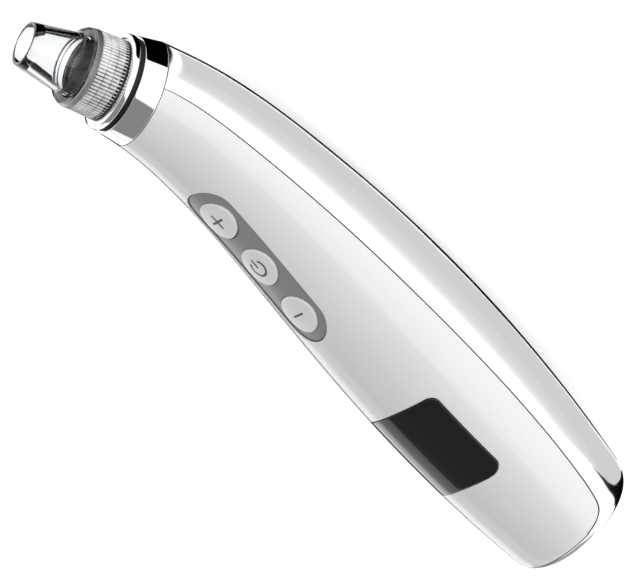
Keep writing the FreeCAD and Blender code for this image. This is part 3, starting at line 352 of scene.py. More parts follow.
def window_sides(grow=0.0):
    """The display window's outline as four sides, split at the middle of its corners."""
    half = WINDOW_HALF_WIDTH + grow
    front = WINDOW_FRONT_X + grow
    rear = WINDOW_REAR_X - grow
    radius = WINDOW_CORNER + grow
    slope = 2 * WINDOW_BOW / half
    corners = [
        fillet((front - WINDOW_BOW, half), (slope, -1), (-1, 0), radius),
        fillet((rear - WINDOW_BOW, half), (1, 0), (slope, -1), radius),
        fillet((rear - WINDOW_BOW, -half), (slope, 1), (1, 0), radius),
        fillet((front - WINDOW_BOW, -half), (-1, 0), (slope, 1), radius),
    ]

    def bowed(middle_x, y_start, y_end):
        return [(middle_x - WINDOW_BOW * (y / half) ** 2, y) for y in np.linspace(y_start, y_end, 42)[1:-1]]

    front_side = bowed(front, corners[3][-1][1], corners[0][0][1])
    rear_side = bowed(rear, corners[1][-1][1], corners[2][0][1])
    return [
        corners[3][12:] + front_side + corners[0][:13],
        corners[0][12:] + corners[1][:13],
        corners[1][12:] + rear_side + corners[2][:13],
        corners[2][12:] + corners[3][:13],
    ]


# ---------------------------------------------------------------- shells

ROW_STEP = 0.6
FRONT_COLUMNS = 121
REAR_COLUMNS = 161
CAP_ROWS = 44
TAIL_CORNER = math.radians(36)
TAIL_REACH = 5.0
CROWN_START = 0.05
CROWN_COLUMNS = 73


def shell_rows():
    """Distances along the spine for the rows of both shells."""
    cap_start = float(spine_place_of_x(TAIL_X + TAIL_ROUND))
    straight = np.linspace(0, cap_start, int(cap_start / ROW_STEP))
    turns = np.linspace(0, math.pi / 2, CAP_ROWS)[1:]
    cap_x = TAIL_X + TAIL_ROUND - TAIL_ROUND * np.sin(turns) ** (2 / TAIL_SQUARENESS_DEEP)
    steep_x = _parting_points[_parting_points[:, 0] < -89.5][::6, 0]
    places = np.concatenate([straight, spine_place_of_x(cap_x), spine_place_of_x(steep_x)])
    places = np.unique(np.round(places, 4))
    keep = np.concatenate([np.diff(places) > 0.002, [True]])
    return places[keep]


def closing_place(rows, side):
    """Where the parting line's edge on this side crosses the top of the tail."""
    covered = parting_angle(rows, side) < math.radians(89.5)
    low, high = rows[covered][-1], rows[~covered][0]
    for _ in range(30):
        middle = (low + high) / 2
        if parting_angle(np.array([middle]), side)[0] < math.radians(89.9):
            low = middle
        else:
            high = middle
    return low


def rows_to_corner(rows, closing, side):
    """The rows before the corner where the parting line turns across the tail."""
    turned = (parting_angle(rows, side) > TAIL_CORNER) & (rows > closing - TAIL_REACH)
    return rows[(rows < closing) & ~turned]


def fill_hole_patch(points, faces, rows, angles, sides_of, seat):
    """Replace a block of the front shell's grid by rings that lead to a hole's outline and over its lip."""
    (row_low, row_high), (column_low, column_high) = seat
    width = FRONT_COLUMNS
    edge = []
    for column in range(column_low, column_high):
        edge.append((row_low, column))
    side_counts = [len(edge)]
    for row in range(row_low, row_high):
        edge.append((row, column_high))
    side_counts.append(len(edge) - sum(side_counts))
    for column in range(column_high, column_low, -1):
        edge.append((row_high, column))
    side_counts.append(len(edge) - sum(side_counts))
    for row in range(row_high, row_low, -1):
        edge.append((row, column_low))
    side_counts.append(len(edge) - sum(side_counts))

    outer = np.array([(rows[r], angles[r, c]) for r, c in edge])

    def outline_place(grow):
        outline = [spread(side, count) for side, count in zip(sides_of(grow), side_counts)]
        outline = np.concatenate(outline)
        return place_and_angle(outline[:, 0], outline[:, 1])

    inner = np.stack(outline_place(SEAT_GAP + LIP), -1)
    rings = 9
    lip_steps = 4
    start = len(points)
    ring_points = []
    for n in range(1, rings + 1):
        share = (n / rings) ** 0.8
        mixed = outer * (1 - share) + inner * share
        ring_points.append(skin(mixed[:, 0], mixed[:, 1]))
    for n in range(1, lip_steps + 1):
        turn = n / lip_steps * math.pi / 2
        place, angle = outline_place(SEAT_GAP + LIP * (1 - math.sin(turn)))
        ring_points.append(skin(place, angle, LIP * (1 - math.cos(turn))))
    rings += lip_steps
    count = len(edge)
    names = [[r * width + c for r, c in edge]]
    for n in range(rings):
        names.append([start + n * count + k for k in range(count)])
    for near, far in zip(names, names[1:]):
        for k in range(count):
            following = (k + 1) % count
            faces.append((near[k], near[following], far[following], far[k]))
    return np.concatenate([points] + ring_points)


def front_shell():
    """The gloss white half with its button slot and its display opening."""
    rows = shell_rows()
    closing = closing_place(rows, 1)
    rows = np.append(rows_to_corner(rows, closing, 1), closing)
    low = parting_angle(rows, 1)
    low[-1] = low[-2]
    share = np.linspace(0, 1, FRONT_COLUMNS)[None, :]
    # columns run from +Y (share 0) over the front to -Y (share 1)
    angles = low[:, None] * (1 - share) + (math.pi - low[:, None]) * share
    places = np.repeat(rows[:, None], FRONT_COLUMNS, axis=1)
    points = skin(places, angles).reshape(-1, 3)

    def block(x_high, x_low, half_width):
        row_low = int(np.argmin(abs(rows - place_and_angle(x_high, 0.0)[0])))
        row_high = int(np.argmin(abs(rows - place_and_angle(x_low, 0.0)[0])))
        middle = (row_low + row_high) // 2
        across = skin(places[middle], angles[middle])[:, 1]
        column_low = int(np.argmin(abs(across - half_width)))
        column_high = FRONT_COLUMNS - 1 - column_low
        return (row_low, row_high), (column_low, column_high)

    reach = SLOT_HALF_WIDTH + 2.6
    slot = block(SLOT_FRONT_X + reach, SLOT_REAR_X - reach, SLOT_HALF_WIDTH + 2.6)
    window = block(WINDOW_FRONT_X + 3.0, WINDOW_REAR_X - WINDOW_BOW - 3.0, WINDOW_HALF_WIDTH + 2.4)
    faces = []
    for row in range(len(rows) - 1):
        for column in range(FRONT_COLUMNS - 1):
            inside = False
            for (row_low, row_high), (column_low, column_high) in (slot, window):
                if row_low <= row < row_high and column_low <= column < column_high:
                    inside = True
            if inside:
                continue
            first = row * FRONT_COLUMNS + column
            faces.append((first, first + 1, first + FRONT_COLUMNS + 1, first + FRONT_COLUMNS))

    def sides_for_patch(sides):
        # the patch's edge starts at its front +Y corner and runs along the front end towards -Y
        front, positive, rear, negative = sides
        return [front[::-1], negative[::-1], rear[::-1], positive[::-1]]

    for outline, seat in ((slot_sides, slot), (window_sides, window)):
        points = fill_hole_patch(
            points, faces, rows, angles, lambda grow: sides_for_patch(outline(grow)), seat
        )
    piece = make_mesh("front_shell_gloss", points, faces)
    return thicken(piece, WALL)


def rear_shell():
    """The silver half, which also wraps the tail, with its port and vent holes."""
    rows = shell_rows()
    closing = closing_place(rows, -1)
    before = rows_to_corner(rows, closing, -1)
    tail = np.append(closing, rows[rows > closing + CROWN_START])
    low = parting_angle(before, -1)
    low = np.append(low, np.full(len(tail), low[-1]))
    share = np.linspace(0, 1, REAR_COLUMNS)[None, :]
    angles = low[:, None] * (1 - share) + (-math.pi - low[:, None]) * share
    rows = np.append(before, tail)
    places = np.repeat(rows[:, None], REAR_COLUMNS, axis=1)
    points = skin(places, angles).reshape(-1, 3)
    faces = grid_faces(len(rows), REAR_COLUMNS)

    # the crown closes the tail over the top, between the two corners
    crown = np.linspace(low[-1], math.pi - low[-1], CROWN_COLUMNS)
    places, angles = np.meshgrid(tail, crown, indexing="ij")
    faces += grid_faces(len(tail), CROWN_COLUMNS, start=len(points))
    points = np.concatenate([points, skin(places, angles).reshape(-1, 3)])
    piece = make_mesh("rear_shell_silver", points, faces)
    for outline, y, z in tail_openings():
        cut_opening(piece, outline, y, z)
    return thicken(piece, WALL)


PORT_HALF_WIDTH = 4.55
PORT_HALF_HEIGHT = 1.75
PORT_Z = 24.6
VENT_RADIUS = 0.8
VENT_SPACING = 4.5
VENT_Z = 17.0
END_FACE_DEPTH = 4.0
CUT_MARGIN = 1.5


def tail_openings():
    """Outline (y, z) and middle of each hole in the tail: the port's, then three vents."""
    wide = PORT_HALF_WIDTH
    high = PORT_HALF_HEIGHT
    openings = [([(-wide, -high), (wide, -high), (wide, high), (-wide, high)], 0.0, PORT_Z)]
    for number in (-1, 0, 1):
        openings.append((arc((0.0, 0.0), VENT_RADIUS, 0, 360, 16)[:-1], VENT_SPACING * number, VENT_Z))
    return openings


def cut_opening(piece, outline, y, z):
    """Cut a convex opening through the tail's skin, seen along x."""
    work = bmesh.new()
    work.from_mesh(piece.data)
    middle = Vector((0.0, y, z)) * MM
    corners = [middle + Vector((0.0, across, up)) * MM for across, up in outline]
    reach = max((corner - middle).length for corner in corners) + CUT_MARGIN * MM
    walls = []
    for start, end in zip(corners, corners[1:] + corners[:1]):
        side = end - start
        walls.append((start, Vector((0.0, side.z, -side.y)).normalized()))

    def tail_faces(distance):
        found = []
        for face in work.faces:
            place = face.calc_center_median()
            across = math.hypot(place.y - middle.y, place.z - middle.z)
            if place.x < (TAIL_X + END_FACE_DEPTH) * MM and across < distance:
                found.append(face)
        return found

    for start, outward in walls:
        near = tail_faces(reach)
        edges = list({edge for face in near for edge in face.edges})
        corners_near = list({corner for face in near for corner in face.verts})
        bmesh.ops.bisect_plane(
            work, geom=near + edges + corners_near, dist=1e-7, plane_co=start, plane_no=outward
        )
    inside = []
    for face in tail_faces(reach):
        place = face.calc_center_median()
        if all((place - start).dot(outward) < 0 for start, outward in walls):
            inside.append(face)
    bmesh.ops.delete(work, geom=inside, context="FACES")
    work.to_mesh(piece.data)
    work.free()
    piece.data.polygons.foreach_set("use_smooth", [True] * len(piece.data.polygons))


def thicken(piece, thickness):
    """Give a skin its wall, with crisp edges. The edge faces take the second material, which the shells get
    as near-black painted shade on the walls of their gaps and holes.
    """
    modifier(
        piece, "SOLIDIFY", thickness=thickness * MM, offset=-1.0, use_even_offset=False,
        material_offset_rim=1,
    )
    piece.data.materials.append(None)
    piece.data.materials.append(None)
    apply_modifiers(piece)
    piece.data.set_sharp_from_angle(angle=math.radians(40))
    return piece


# ---------------------------------------------------------------- pieces on the front surface

def surface_plug(name, sides, sink, edge, depth, rings=10, normal=None):
    """A piece that follows the front surface inside an outline, with a rounded rim and straight sides."""
    outline = np.concatenate([spread(side, 60) for side in sides])
    middle = outline.mean(axis=0)
    reach = np.linalg.norm(outline - middle, axis=1)
    loops = []
    steps = 5
    for n in range(rings + 1):
        share = n / rings
        scale = share * (1 - edge / reach)
        loops.append((middle + (outline - middle) * scale[:, None], sink))
    for n in range(1, steps + 1):
        turn = n / steps * math.pi / 2
        scale = 1 - edge / reach * (1 - math.sin(turn))
        loops.append((middle + (outline - middle) * scale[:, None], sink + edge * (1 - math.cos(turn))))
    layers = [front_point(xy[:, 0], xy[:, 1], down) for xy, down in loops]
    normal = BOARD_NORMAL if normal is None else normal
    layers.append(layers[-1] - normal * depth)
    points = np.concatenate(layers)
    count = len(outline)
    faces = grid_faces(len(layers), count, wrap=True)
    faces.append(tuple((len(layers) - 1) * count + k for k in range(count)))
    return make_mesh(name, points, faces)


def button(name, x):
    """A round button whose top follows the shell."""
    centre = (x, 0.0)
    sides = [arc(centre, BUTTON_RADIUS, start, start + 90, 40) for start in (-45, 45, 135, 225)]
    return surface_plug(name, sides, BUTTON_SINK, 0.4, 3.0)


def ribbon(name, lines, width, lift=0.05):
    """Raised strokes on a button, each along a line of x, y points."""
    points = []
    faces = []
    for line in lines:
        line = np.array(line, float)
        along = np.gradient(line, axis=0)
        along = along / np.linalg.norm(along, axis=1)[:, None]
        side = np.stack([-along[:, 1], along[:, 0]], -1)
        half = width / 2
        start = len(points)
        profile = [
            (-half, -0.1), (-half, lift * 0.5), (-half * 0.7, lift), (half * 0.7, lift), (half, lift * 0.5),
            (half, -0.1),
        ]
        for offset, height in profile:
            xy = line + side * offset
            points.extend(front_point(xy[:, 0], xy[:, 1], BUTTON_SINK - height))
        count = len(line)
        faces.extend(grid_faces(len(profile), count, start=start))
        faces.append(tuple(start + row * count for row in range(len(profile))))
        faces.append(tuple(start + row * count + count - 1 for row in reversed(range(len(profile)))))
        faces.extend(
            (start + k + 1, start + k, start + (len(profile) - 1) * count + k,
             start + (len(profile) - 1) * count + k + 1)
            for k in range(count - 1)
        )
    return make_mesh(name, points, faces)


def stroke(x0, y0, x1, y1, count=12):
    """A straight line of points."""
    share = np.linspace(0, 1, count)[:, None]
    return np.array([[x0, y0]]) * (1 - share) + np.array([[x1, y1]]) * share


def symbols():
    """Plus, power and minus signs."""
    arm = 2.2
    plus_x = BUTTON_MIDDLE_X + BUTTON_PITCH
    minus_x = BUTTON_MIDDLE_X - BUTTON_PITCH
    plus = [
        stroke(plus_x - arm, 0, plus_x + arm, 0),
        stroke(plus_x, -arm, plus_x, -0.28),
        stroke(plus_x, 0.28, plus_x, arm),
    ]
    ring = arc((BUTTON_MIDDLE_X, 0.0), 2.25, 40, 320, 60)
    power = [ring, stroke(BUTTON_MIDDLE_X + 0.1, 0, BUTTON_MIDDLE_X + 2.7, 0)]
    minus = [stroke(minus_x, -2.0, minus_x, 2.0)]
    return {
        "plus": ribbon("sign_plus", plus, 0.6),
        "power": ribbon("sign_power", power, 0.6),
        "minus": ribbon("sign_minus", minus, 0.6),
    }


def window_lens():
    """The black lens, flush with the shell."""
    x = (WINDOW_FRONT_X + WINDOW_REAR_X) / 2
    normal = front_point(x, 0.0, 0.0) - front_point(x, 0.0, 1.0)
    return surface_plug("window_lens", window_sides(), 0.0, 0.25, 0.9, rings=16, normal=normal)


# ---------------------------------------------------------------- head

RIB_COUNT = 72
STEPS_PER_RIB = 6
COLLAR_START = 15.2
COLLAR_END = 23.0
SHOULDER_START = 12.3
COLLAR_RINGS = [16.2, 18.2, 20.3, 22.2]


def grip(radius, depth, turn):
    """Axial ribs on the outside of the collar."""
    phase = np.mod(turn * RIB_COUNT / (2 * math.pi), 1.0)
    groove = np.clip(1 - abs(phase - 0.5) / 0.2, 0, 1)
    along = np.clip((depth - COLLAR_START) / 0.8, 0, 1) * np.clip((COLLAR_END + 0.2 - depth) / 0.3, 0, 1)
    outside = radius > 9.6
    return -0.22 * groove * along * outside


def suction_tip():
    """Clear cone and ribbed collar. Its ribs and grooves take a material each; the grooves' darker material
    and the black of the rear notches are painted shade.
    """
    outer = [
        (4.95, 0.0), (5.55, 0.0), (7.75, 12.0), (9.0, 12.7), (9.9, 14.0), (10.15, 15.2),
    ]
    collar = []
    for ring in COLLAR_RINGS:
        for shift, sink in ((-0.2, 0.0), (-0.07, 0.08), (0.07, 0.08), (0.2, 0.0)):
            depth = ring + shift
            collar.append((10.2 + 0.25 * (depth - COLLAR_START) / 7.8 - sink, depth))
    inner = [
        (10.4, COLLAR_END), (9.15, COLLAR_END), (9.12, 16.0), (9.0, 15.0), (7.1, 15.0), (6.8, 12.2),
        (4.75, 3.0), (4.75, 0.3),
    ]
    outline = rounded(outer, 0.5, closed=False) + collar + rounded(inner, 0.25, closed=False)
    piece = lathe("suction_tip_clear", outline, segments=RIB_COUNT * STEPS_PER_RIB, ripple=grip)
    piece.data.materials.append(None)
    for face in piece.data.polygons:
        face.material_index = collar_face(np.array(face.center) / MM)
    return piece


def collar_face(point):
    """0 for the plain tip, 1 for a rib, 2 for a groove (painted shade), 3 for the shoulder, 4 for the notches
    between the rear teeth (painted black shade).
    """
    depth, radius = head_place(point)
    if SHOULDER_START < depth < COLLAR_START + 1.3 and radius < 9.7:
        return 3
    if radius < 9.7 or not COLLAR_START + 0.6 < depth < COLLAR_END - 0.1:
        return 0
    offset = point - MOUTH
    phase = math.atan2(float(offset @ HEAD_UP), offset[1]) * RIB_COUNT / (2 * math.pi) % 1.0
    from_groove = abs(phase - 0.5)
    # the notches between the rear teeth are painted black as shade
    if depth > COLLAR_END - 0.75:
        return 4 if from_groove < 0.3 else 1
    # grooves and ring lines take a darker material as painted shade
    on_ring = min(abs(depth - ring) for ring in COLLAR_RINGS) < 0.07
    return 2 if from_groove < 0.1 or on_ring else 1


GROOVE_FRONT = 25.0
GROOVE_REAR = 26.35


def head_ring():
    """Chrome ring with a rounded lip, a groove painted black as shade and a flared wall."""
    outline = rounded([
        (9.3, 23.3), (11.2, 23.3), (12.25, 23.7), (12.35, GROOVE_FRONT), (11.75, GROOVE_FRONT + 0.1),
        (11.75, GROOVE_REAR - 0.1), (12.6, GROOVE_REAR), (13.58, 32.15), (11.2, 32.15), (11.2, 24.85),
        (9.3, 24.85),
    ], 0.3, steps=6)
    piece = lathe("head_ring_chrome", outline, segments=256)
    # faces inside the groove take the second material: black, painted shade in the groove
    for face in piece.data.polygons:
        depth, radius = head_place(np.array(face.center) / MM)
        groove_painted_black = 11.6 < radius < 12.1 and GROOVE_FRONT - 0.1 < depth < GROOVE_REAR + 0.1
        face.material_index = 1 if groove_painted_black else 0
    return piece


def head_place(point):
    """Depth behind the mouth and distance from the head's axis."""
    offset = point - MOUTH
    depth = -float(offset @ HEAD_AXIS)
    return depth, math.hypot(offset[1], float(offset @ HEAD_UP))


def filter_sponge():
    """Dark foam disc with a slightly crowned face."""
    outline = [
        (0.01, 16.75), (3.0, 16.76), (6.0, 16.8), (8.0, 16.9), (8.6, 17.05), (8.78, 17.4), (8.78, 19.25),
        (0.01, 19.25),
    ]
    outline = rounded(outline, 0.8, closed=False)
    return lathe("filter_sponge_foam", outline, segments=128, closed=False)


SEAL_BORE_EDGE = 7.7
SEAL_BACK = 16.08


def tip_seal():
    """Seal in front of the sponge: pale, with a black bore."""
    outline = rounded([(7.4, 15.1), (9.05, 15.1), (9.05, 16.3), (7.4, 16.3)], 0.15)
    piece = lathe("tip_seal_ring", outline, segments=128)
    for face in piece.data.polygons:
        depth, radius = head_place(np.array(face.center) / MM)
        face.material_index = 0 if depth < SEAL_BACK and radius < SEAL_BORE_EDGE else 1
    return piece


# ---------------------------------------------------------------- materials

def new_material(name):
    """A node material, its node tree's nodes and links, and its Principled shader."""
    material = bpy.data.materials.new(name)
    material.use_nodes = True
    nodes = material.node_tree.nodes
    return material, nodes, material.node_tree.links, nodes["Principled BSDF"]


def noise(nodes, links, scale, detail=2.0, stretch=(1, 1, 1)):
    """Noise over the object's own coordinates, in metres."""
    place = nodes.new("ShaderNodeTexCoord")
    spread_node = nodes.new("ShaderNodeMapping")
    spread_node.inputs["Scale"].default_value = stretch
    texture = nodes.new("ShaderNodeTexNoise")
    texture.inputs["Scale"].default_value = scale
    texture.inputs["Detail"].default_value = detail
    links.new(place.outputs["Object"], spread_node.inputs["Vector"])
    links.new(spread_node.outputs["Vector"], texture.inputs["Vector"])
    return texture.outputs["Fac"]


def ramp(nodes, links, source, stops):
    """A colour ramp over a value."""
    item = nodes.new("ShaderNodeValToRGB")
    first, last = item.color_ramp.elements[0], item.color_ramp.elements[1]
    first.position, first.color = stops[0][0], (*stops[0][1], 1)
    last.position, last.color = stops[-1][0], (*stops[-1][1], 1)
    for position, colour in stops[1:-1]:
        item.color_ramp.elements.new(position).color = (*colour, 1)
    links.new(source, item.inputs["Fac"])
    return item.outputs["Color"]


def bump(nodes, links, shader, source, distance, strength=1.0):
    """A bump of this height in metres."""
    item = nodes.new("ShaderNodeBump")
    item.inputs["Distance"].default_value = distance
    item.inputs["Strength"].default_value = strength
    links.new(source, item.inputs["Height"])
    links.new(item.outputs["Normal"], shader.inputs["Normal"])


def finish(name, colour, roughness, metallic=0.0, vary=0.03, grain=900.0, relief=0.0, coat=0.0):
    """A plain moulded or metal finish with slight variation in colour and gloss."""
    material, nodes, links, shader = new_material(name)
    value = noise(nodes, links, grain)
    dark = tuple(c * (1 - vary) for c in colour)
    light = tuple(min(1.0, c * (1 + vary)) for c in colour)
    links.new(ramp(nodes, links, value, [(0.3, dark), (0.7, light)]), shader.inputs["Base Color"])
    low = (roughness * 0.85,) * 3
    high = (min(1.0, roughness * 1.2),) * 3
    wide = noise(nodes, links, grain * 0.15, detail=3.0)
    links.new(ramp(nodes, links, wide, [(0.3, low), (0.7, high)]), shader.inputs["Roughness"])
    shader.inputs["Metallic"].default_value = metallic
    shader.inputs["Coat Weight"].default_value = coat
    if relief:
        bump(nodes, links, shader, value, relief)
    return material


def clear_plastic(name, bending):
    """Clear polycarbonate that bends light this much."""
    material, nodes, links, shader = new_material(name)
    shader.inputs["Base Color"].default_value = (0.97, 0.98, 0.99, 1)
    shader.inputs["Transmission Weight"].default_value = 1.0
    shader.inputs["IOR"].default_value = bending
    value = noise(nodes, links, 120.0)
    links.new(ramp(nodes, links, value, [(0.3, (0.02,) * 3), (0.7, (0.05,) * 3)]), shader.inputs["Roughness"])
    return material


def frosted(name, colour, clearness, roughness, shade):
    """Clear plastic that scatters part of the light, down to this share of its colour in patches."""
    material, nodes, links, shader = new_material(name)
    value = noise(nodes, links, 260.0)
    dark = tuple(c * shade for c in colour)
    links.new(ramp(nodes, links, value, [(0.4, dark), (0.6, colour)]), shader.inputs["Base Color"])
    shader.inputs["Transmission Weight"].default_value = clearness
    shader.inputs["Roughness"].default_value = roughness
    shader.inputs["IOR"].default_value = 1.45
    return material


def foam():
    """Open dark foam."""
    material, nodes, links, shader = new_material("foam")
    value = noise(nodes, links, 2600.0, detail=4.0)
    streaks = noise(nodes, links, 900.0, stretch=(0.4, 0.15, 1.0))
    colour = ramp(nodes, links, streaks, [(0.35, (0.035,) * 3), (0.65, (0.14,) * 3)])
    links.new(colour, shader.inputs["Base Color"])
    shader.inputs["Roughness"].default_value = 0.95
    bump(nodes, links, shader, value, 0.0004)
    return material


def build_materials():
    """Every material, by the record's slot."""
    return {
        "white_shell": finish("white_shell", (0.88, 0.88, 0.883), 0.14, vary=0.004, grain=300.0),
        "silver_shell": finish(
            "silver_shell", (0.93, 0.93, 0.935), 0.1, metallic=1.0, vary=0.006, grain=250.0
        ),
        "chrome_ring": finish("chrome_ring", (0.9, 0.9, 0.905), 0.05, metallic=1.0, vary=0.005, grain=250.0),
        "clear_plastic": clear_plastic("clear_plastic", 1.45),
        "clear_shoulder": clear_plastic("clear_shoulder", 1.08),
        "clear_rib": frosted("clear_rib", (0.98, 0.98, 0.985), 0.08, 0.12, 0.8),
        # darker grey with near-black patches: painted shade in the collar's grooves
        "clear_groove_painted_shade": frosted("clear_groove_painted_shade", (0.6, 0.6, 0.61), 0.1, 0.15, 0.08),
        # groove: near-black painted shade for the walls of gaps, holes and grooves
        "groove": finish("groove", (0.004, 0.004, 0.004), 0.7, vary=0.1),
        "grey_panel": finish("grey_panel", (0.3, 0.3, 0.303), 0.4, vary=0.12, grain=6000.0, relief=0.00001),
        "button_grey": finish("button_grey", (0.9, 0.9, 0.905), 0.35, vary=0.02, grain=4000.0),
        "button_sign": finish("button_sign", (0.1, 0.1, 0.105), 0.4, vary=0.03, grain=4000.0),
        "black_lens": finish("black_lens", (0.008, 0.008, 0.009), 0.06, vary=0.05, grain=500.0),
        "display_black": finish("display_black", (0.03, 0.03, 0.035), 0.4),
        "white_nylon": finish("white_nylon", (0.75, 0.75, 0.72), 0.45),
        "black_rubber": finish(
            "black_rubber", (0.02, 0.02, 0.02), 0.5, vary=0.1, grain=3000.0, relief=0.00001
        ),
        "clear_silicone": finish("clear_silicone", (0.6, 0.6, 0.57), 0.4),
        "sponge_grey": foam(),
        "board_green": finish("board_green", (0.02, 0.16, 0.07), 0.35),
        "chip_black": finish("chip_black", (0.025, 0.025, 0.025), 0.5),
        "steel": finish("steel", (0.6, 0.6, 0.61), 0.25, metallic=1.0),
        "core_steel": finish("core_steel", (0.3, 0.3, 0.32), 0.4, metallic=1.0),
        "magnet": finish("magnet", (0.07, 0.07, 0.08), 0.6),
        "copper": finish("copper", (0.7, 0.33, 0.16), 0.3, metallic=1.0),
        "bronze": finish("bronze", (0.6, 0.42, 0.22), 0.4, metallic=1.0),
        "cell_wrap": finish("cell_wrap", (0.04, 0.12, 0.4), 0.3),
        "lead_red": finish("lead_red", (0.5, 0.03, 0.02), 0.4),
    }


def dress(piece, *materials):
    """Give a piece its materials, in the order of its faces' numbers."""
    numbers = [face.material_index for face in piece.data.polygons]
    piece.data.materials.clear()
    for material in materials:
        piece.data.materials.append(material)
    last = len(materials) - 1
    piece.data.polygons.foreach_set("material_index", [min(number, last) for number in numbers])


def dress_cad_nodes(materials):
    """Materials for the nodes that stay as CAD made them."""
    slot_of = {row["node"]: row["material_slot"] for row in frame["record"]["subparts"]}
    for name, node in frame["nodes"].items():
        dress(node, materials[slot_of[name]])


# ---------------------------------------------------------------- camera, light and floor

CAMERA_TARGET = Vector((-0.4, 0.0, 23.2)) * MM
CAMERA_SIDE = Vector((0.2428, -0.8113, 0.5319)).normalized()
CAMERA_UP = Vector((0.6726, -0.2545, -0.6950)).normalized()
CAMERA_RIGHT = Vector((-0.6992, -0.5264, -0.4839)).normalized()
CAMERA_DISTANCE = 783.5 * MM
CAMERA_LENS = 178.8
AIM_RIGHT = -0.00211
AIM_UP = -0.00765


def make_camera():
    """The camera above the front, rolled so that the handle runs down to the right."""
    data = bpy.data.cameras.new("camera")
    data.lens = CAMERA_LENS
    data.clip_start = 0.01
    data.clip_end = 20.0
    camera = bpy.data.objects.new("camera", data)
    bpy.context.scene.collection.objects.link(camera)
    ahead = (-CAMERA_SIDE + CAMERA_RIGHT * AIM_RIGHT + CAMERA_UP * AIM_UP).normalized()
    right = ahead.cross(CAMERA_UP).normalized()
    up = right.cross(ahead)
    turn = Matrix((right, up, -ahead)).transposed()
    camera.matrix_world = Matrix.Translation(CAMERA_TARGET + CAMERA_SIDE * CAMERA_DISTANCE) @ turn.to_4x4()
    bpy.context.scene.camera = camera


CEILING_EDGE = 0.6
CEILING = 0.25
WALLS = 1.05


def make_light():
    """A room of light: bright walls all round, and a dimmer ceiling over them."""
    world = bpy.data.worlds.new("studio")
    world.use_nodes = True
    bpy.context.scene.world = world
    nodes = world.node_tree.nodes
    links = world.node_tree.links
    place = nodes.new("ShaderNodeTexCoord")
    parts = nodes.new("ShaderNodeSeparateXYZ")
    links.new(place.outputs["Generated"], parts.inputs["Vector"])
    stops = [
        (CEILING_EDGE - 0.02, (WALLS,) * 3),
        (CEILING_EDGE + 0.02, (CEILING,) * 3),
    ]
    colour = ramp(nodes, links, parts.outputs["Z"], stops)
    links.new(colour, nodes["Background"].inputs["Color"])
    bpy.context.scene.view_settings.view_transform = "Standard"
    data = bpy.data.lights.new("key", "AREA")
    data.size = 0.7
    data.energy = 0.78
    lamp = bpy.data.objects.new("key", data)
    bpy.context.scene.collection.objects.link(lamp)
    away = Vector((0.0, -0.6, 0.8))
    lamp.location = Vector((0.0, 0.0, 0.03)) + away * 0.8
    lamp.rotation_mode = "QUATERNION"
    lamp.rotation_quaternion = away.to_track_quat("Z", "Y")
    lamp.visible_glossy = False


def make_floor():
    """A plain white floor under the handle's back."""
    floor = flat_piece("floor", [(-3000, -3000), (3000, -3000), (3000, 3000), (-3000, 3000)], -0.2)
    material, _, _, shader = new_material("floor")
    shader.inputs["Base Color"].default_value = (0.9, 0.9, 0.9, 1)
    shader.inputs["Roughness"].default_value = 0.9
    shader.inputs["Emission Color"].default_value = (1, 1, 1, 1)
    shader.inputs["Emission Strength"].default_value = 0.6
    dress(floor, material)


def flat_piece(name, corners, height):
    """A level sheet through x, y corners."""
    mesh = bpy.data.meshes.new(name)
    mesh.from_pydata([(x * MM, y * MM, height * MM) for x, y in corners], [], [tuple(range(len(corners)))])
    piece = bpy.data.objects.new(name, mesh)
    bpy.context.scene.collection.objects.link(piece)
    return piece


def studio_card(piece, value, through_glass=False):
    """A card of the light rig. Only what shines (or, for the tip, what is seen through it) meets it."""
    material = bpy.data.materials.new(piece.name)
    material.use_nodes = True
    nodes = material.node_tree.nodes
    nodes.remove(nodes["Principled BSDF"])
    glow = nodes.new("ShaderNodeEmission")
    glow.inputs["Color"].default_value = (value, value, value, 1)
    material.node_tree.links.new(glow.outputs["Emission"], nodes["Material Output"].inputs["Surface"])
    dress(piece, material)
    piece.visible_camera = False
    piece.visible_diffuse = False
    piece.visible_shadow = False
    piece.visible_volume_scatter = False
    piece.visible_glossy = not through_glass
    piece.visible_transmission = through_glass


# how far each of the grey cards behind the back starts from the first one's edge, in mm, and its grey; these
# grey cards are painted shadow of the floor along the handle's back, seen only in reflections
BACK_SHADES = ((-8, 0.95), (-5, 0.88), (-2, 0.8), (2, 0.74), (7, 0.7), (13, 0.66))


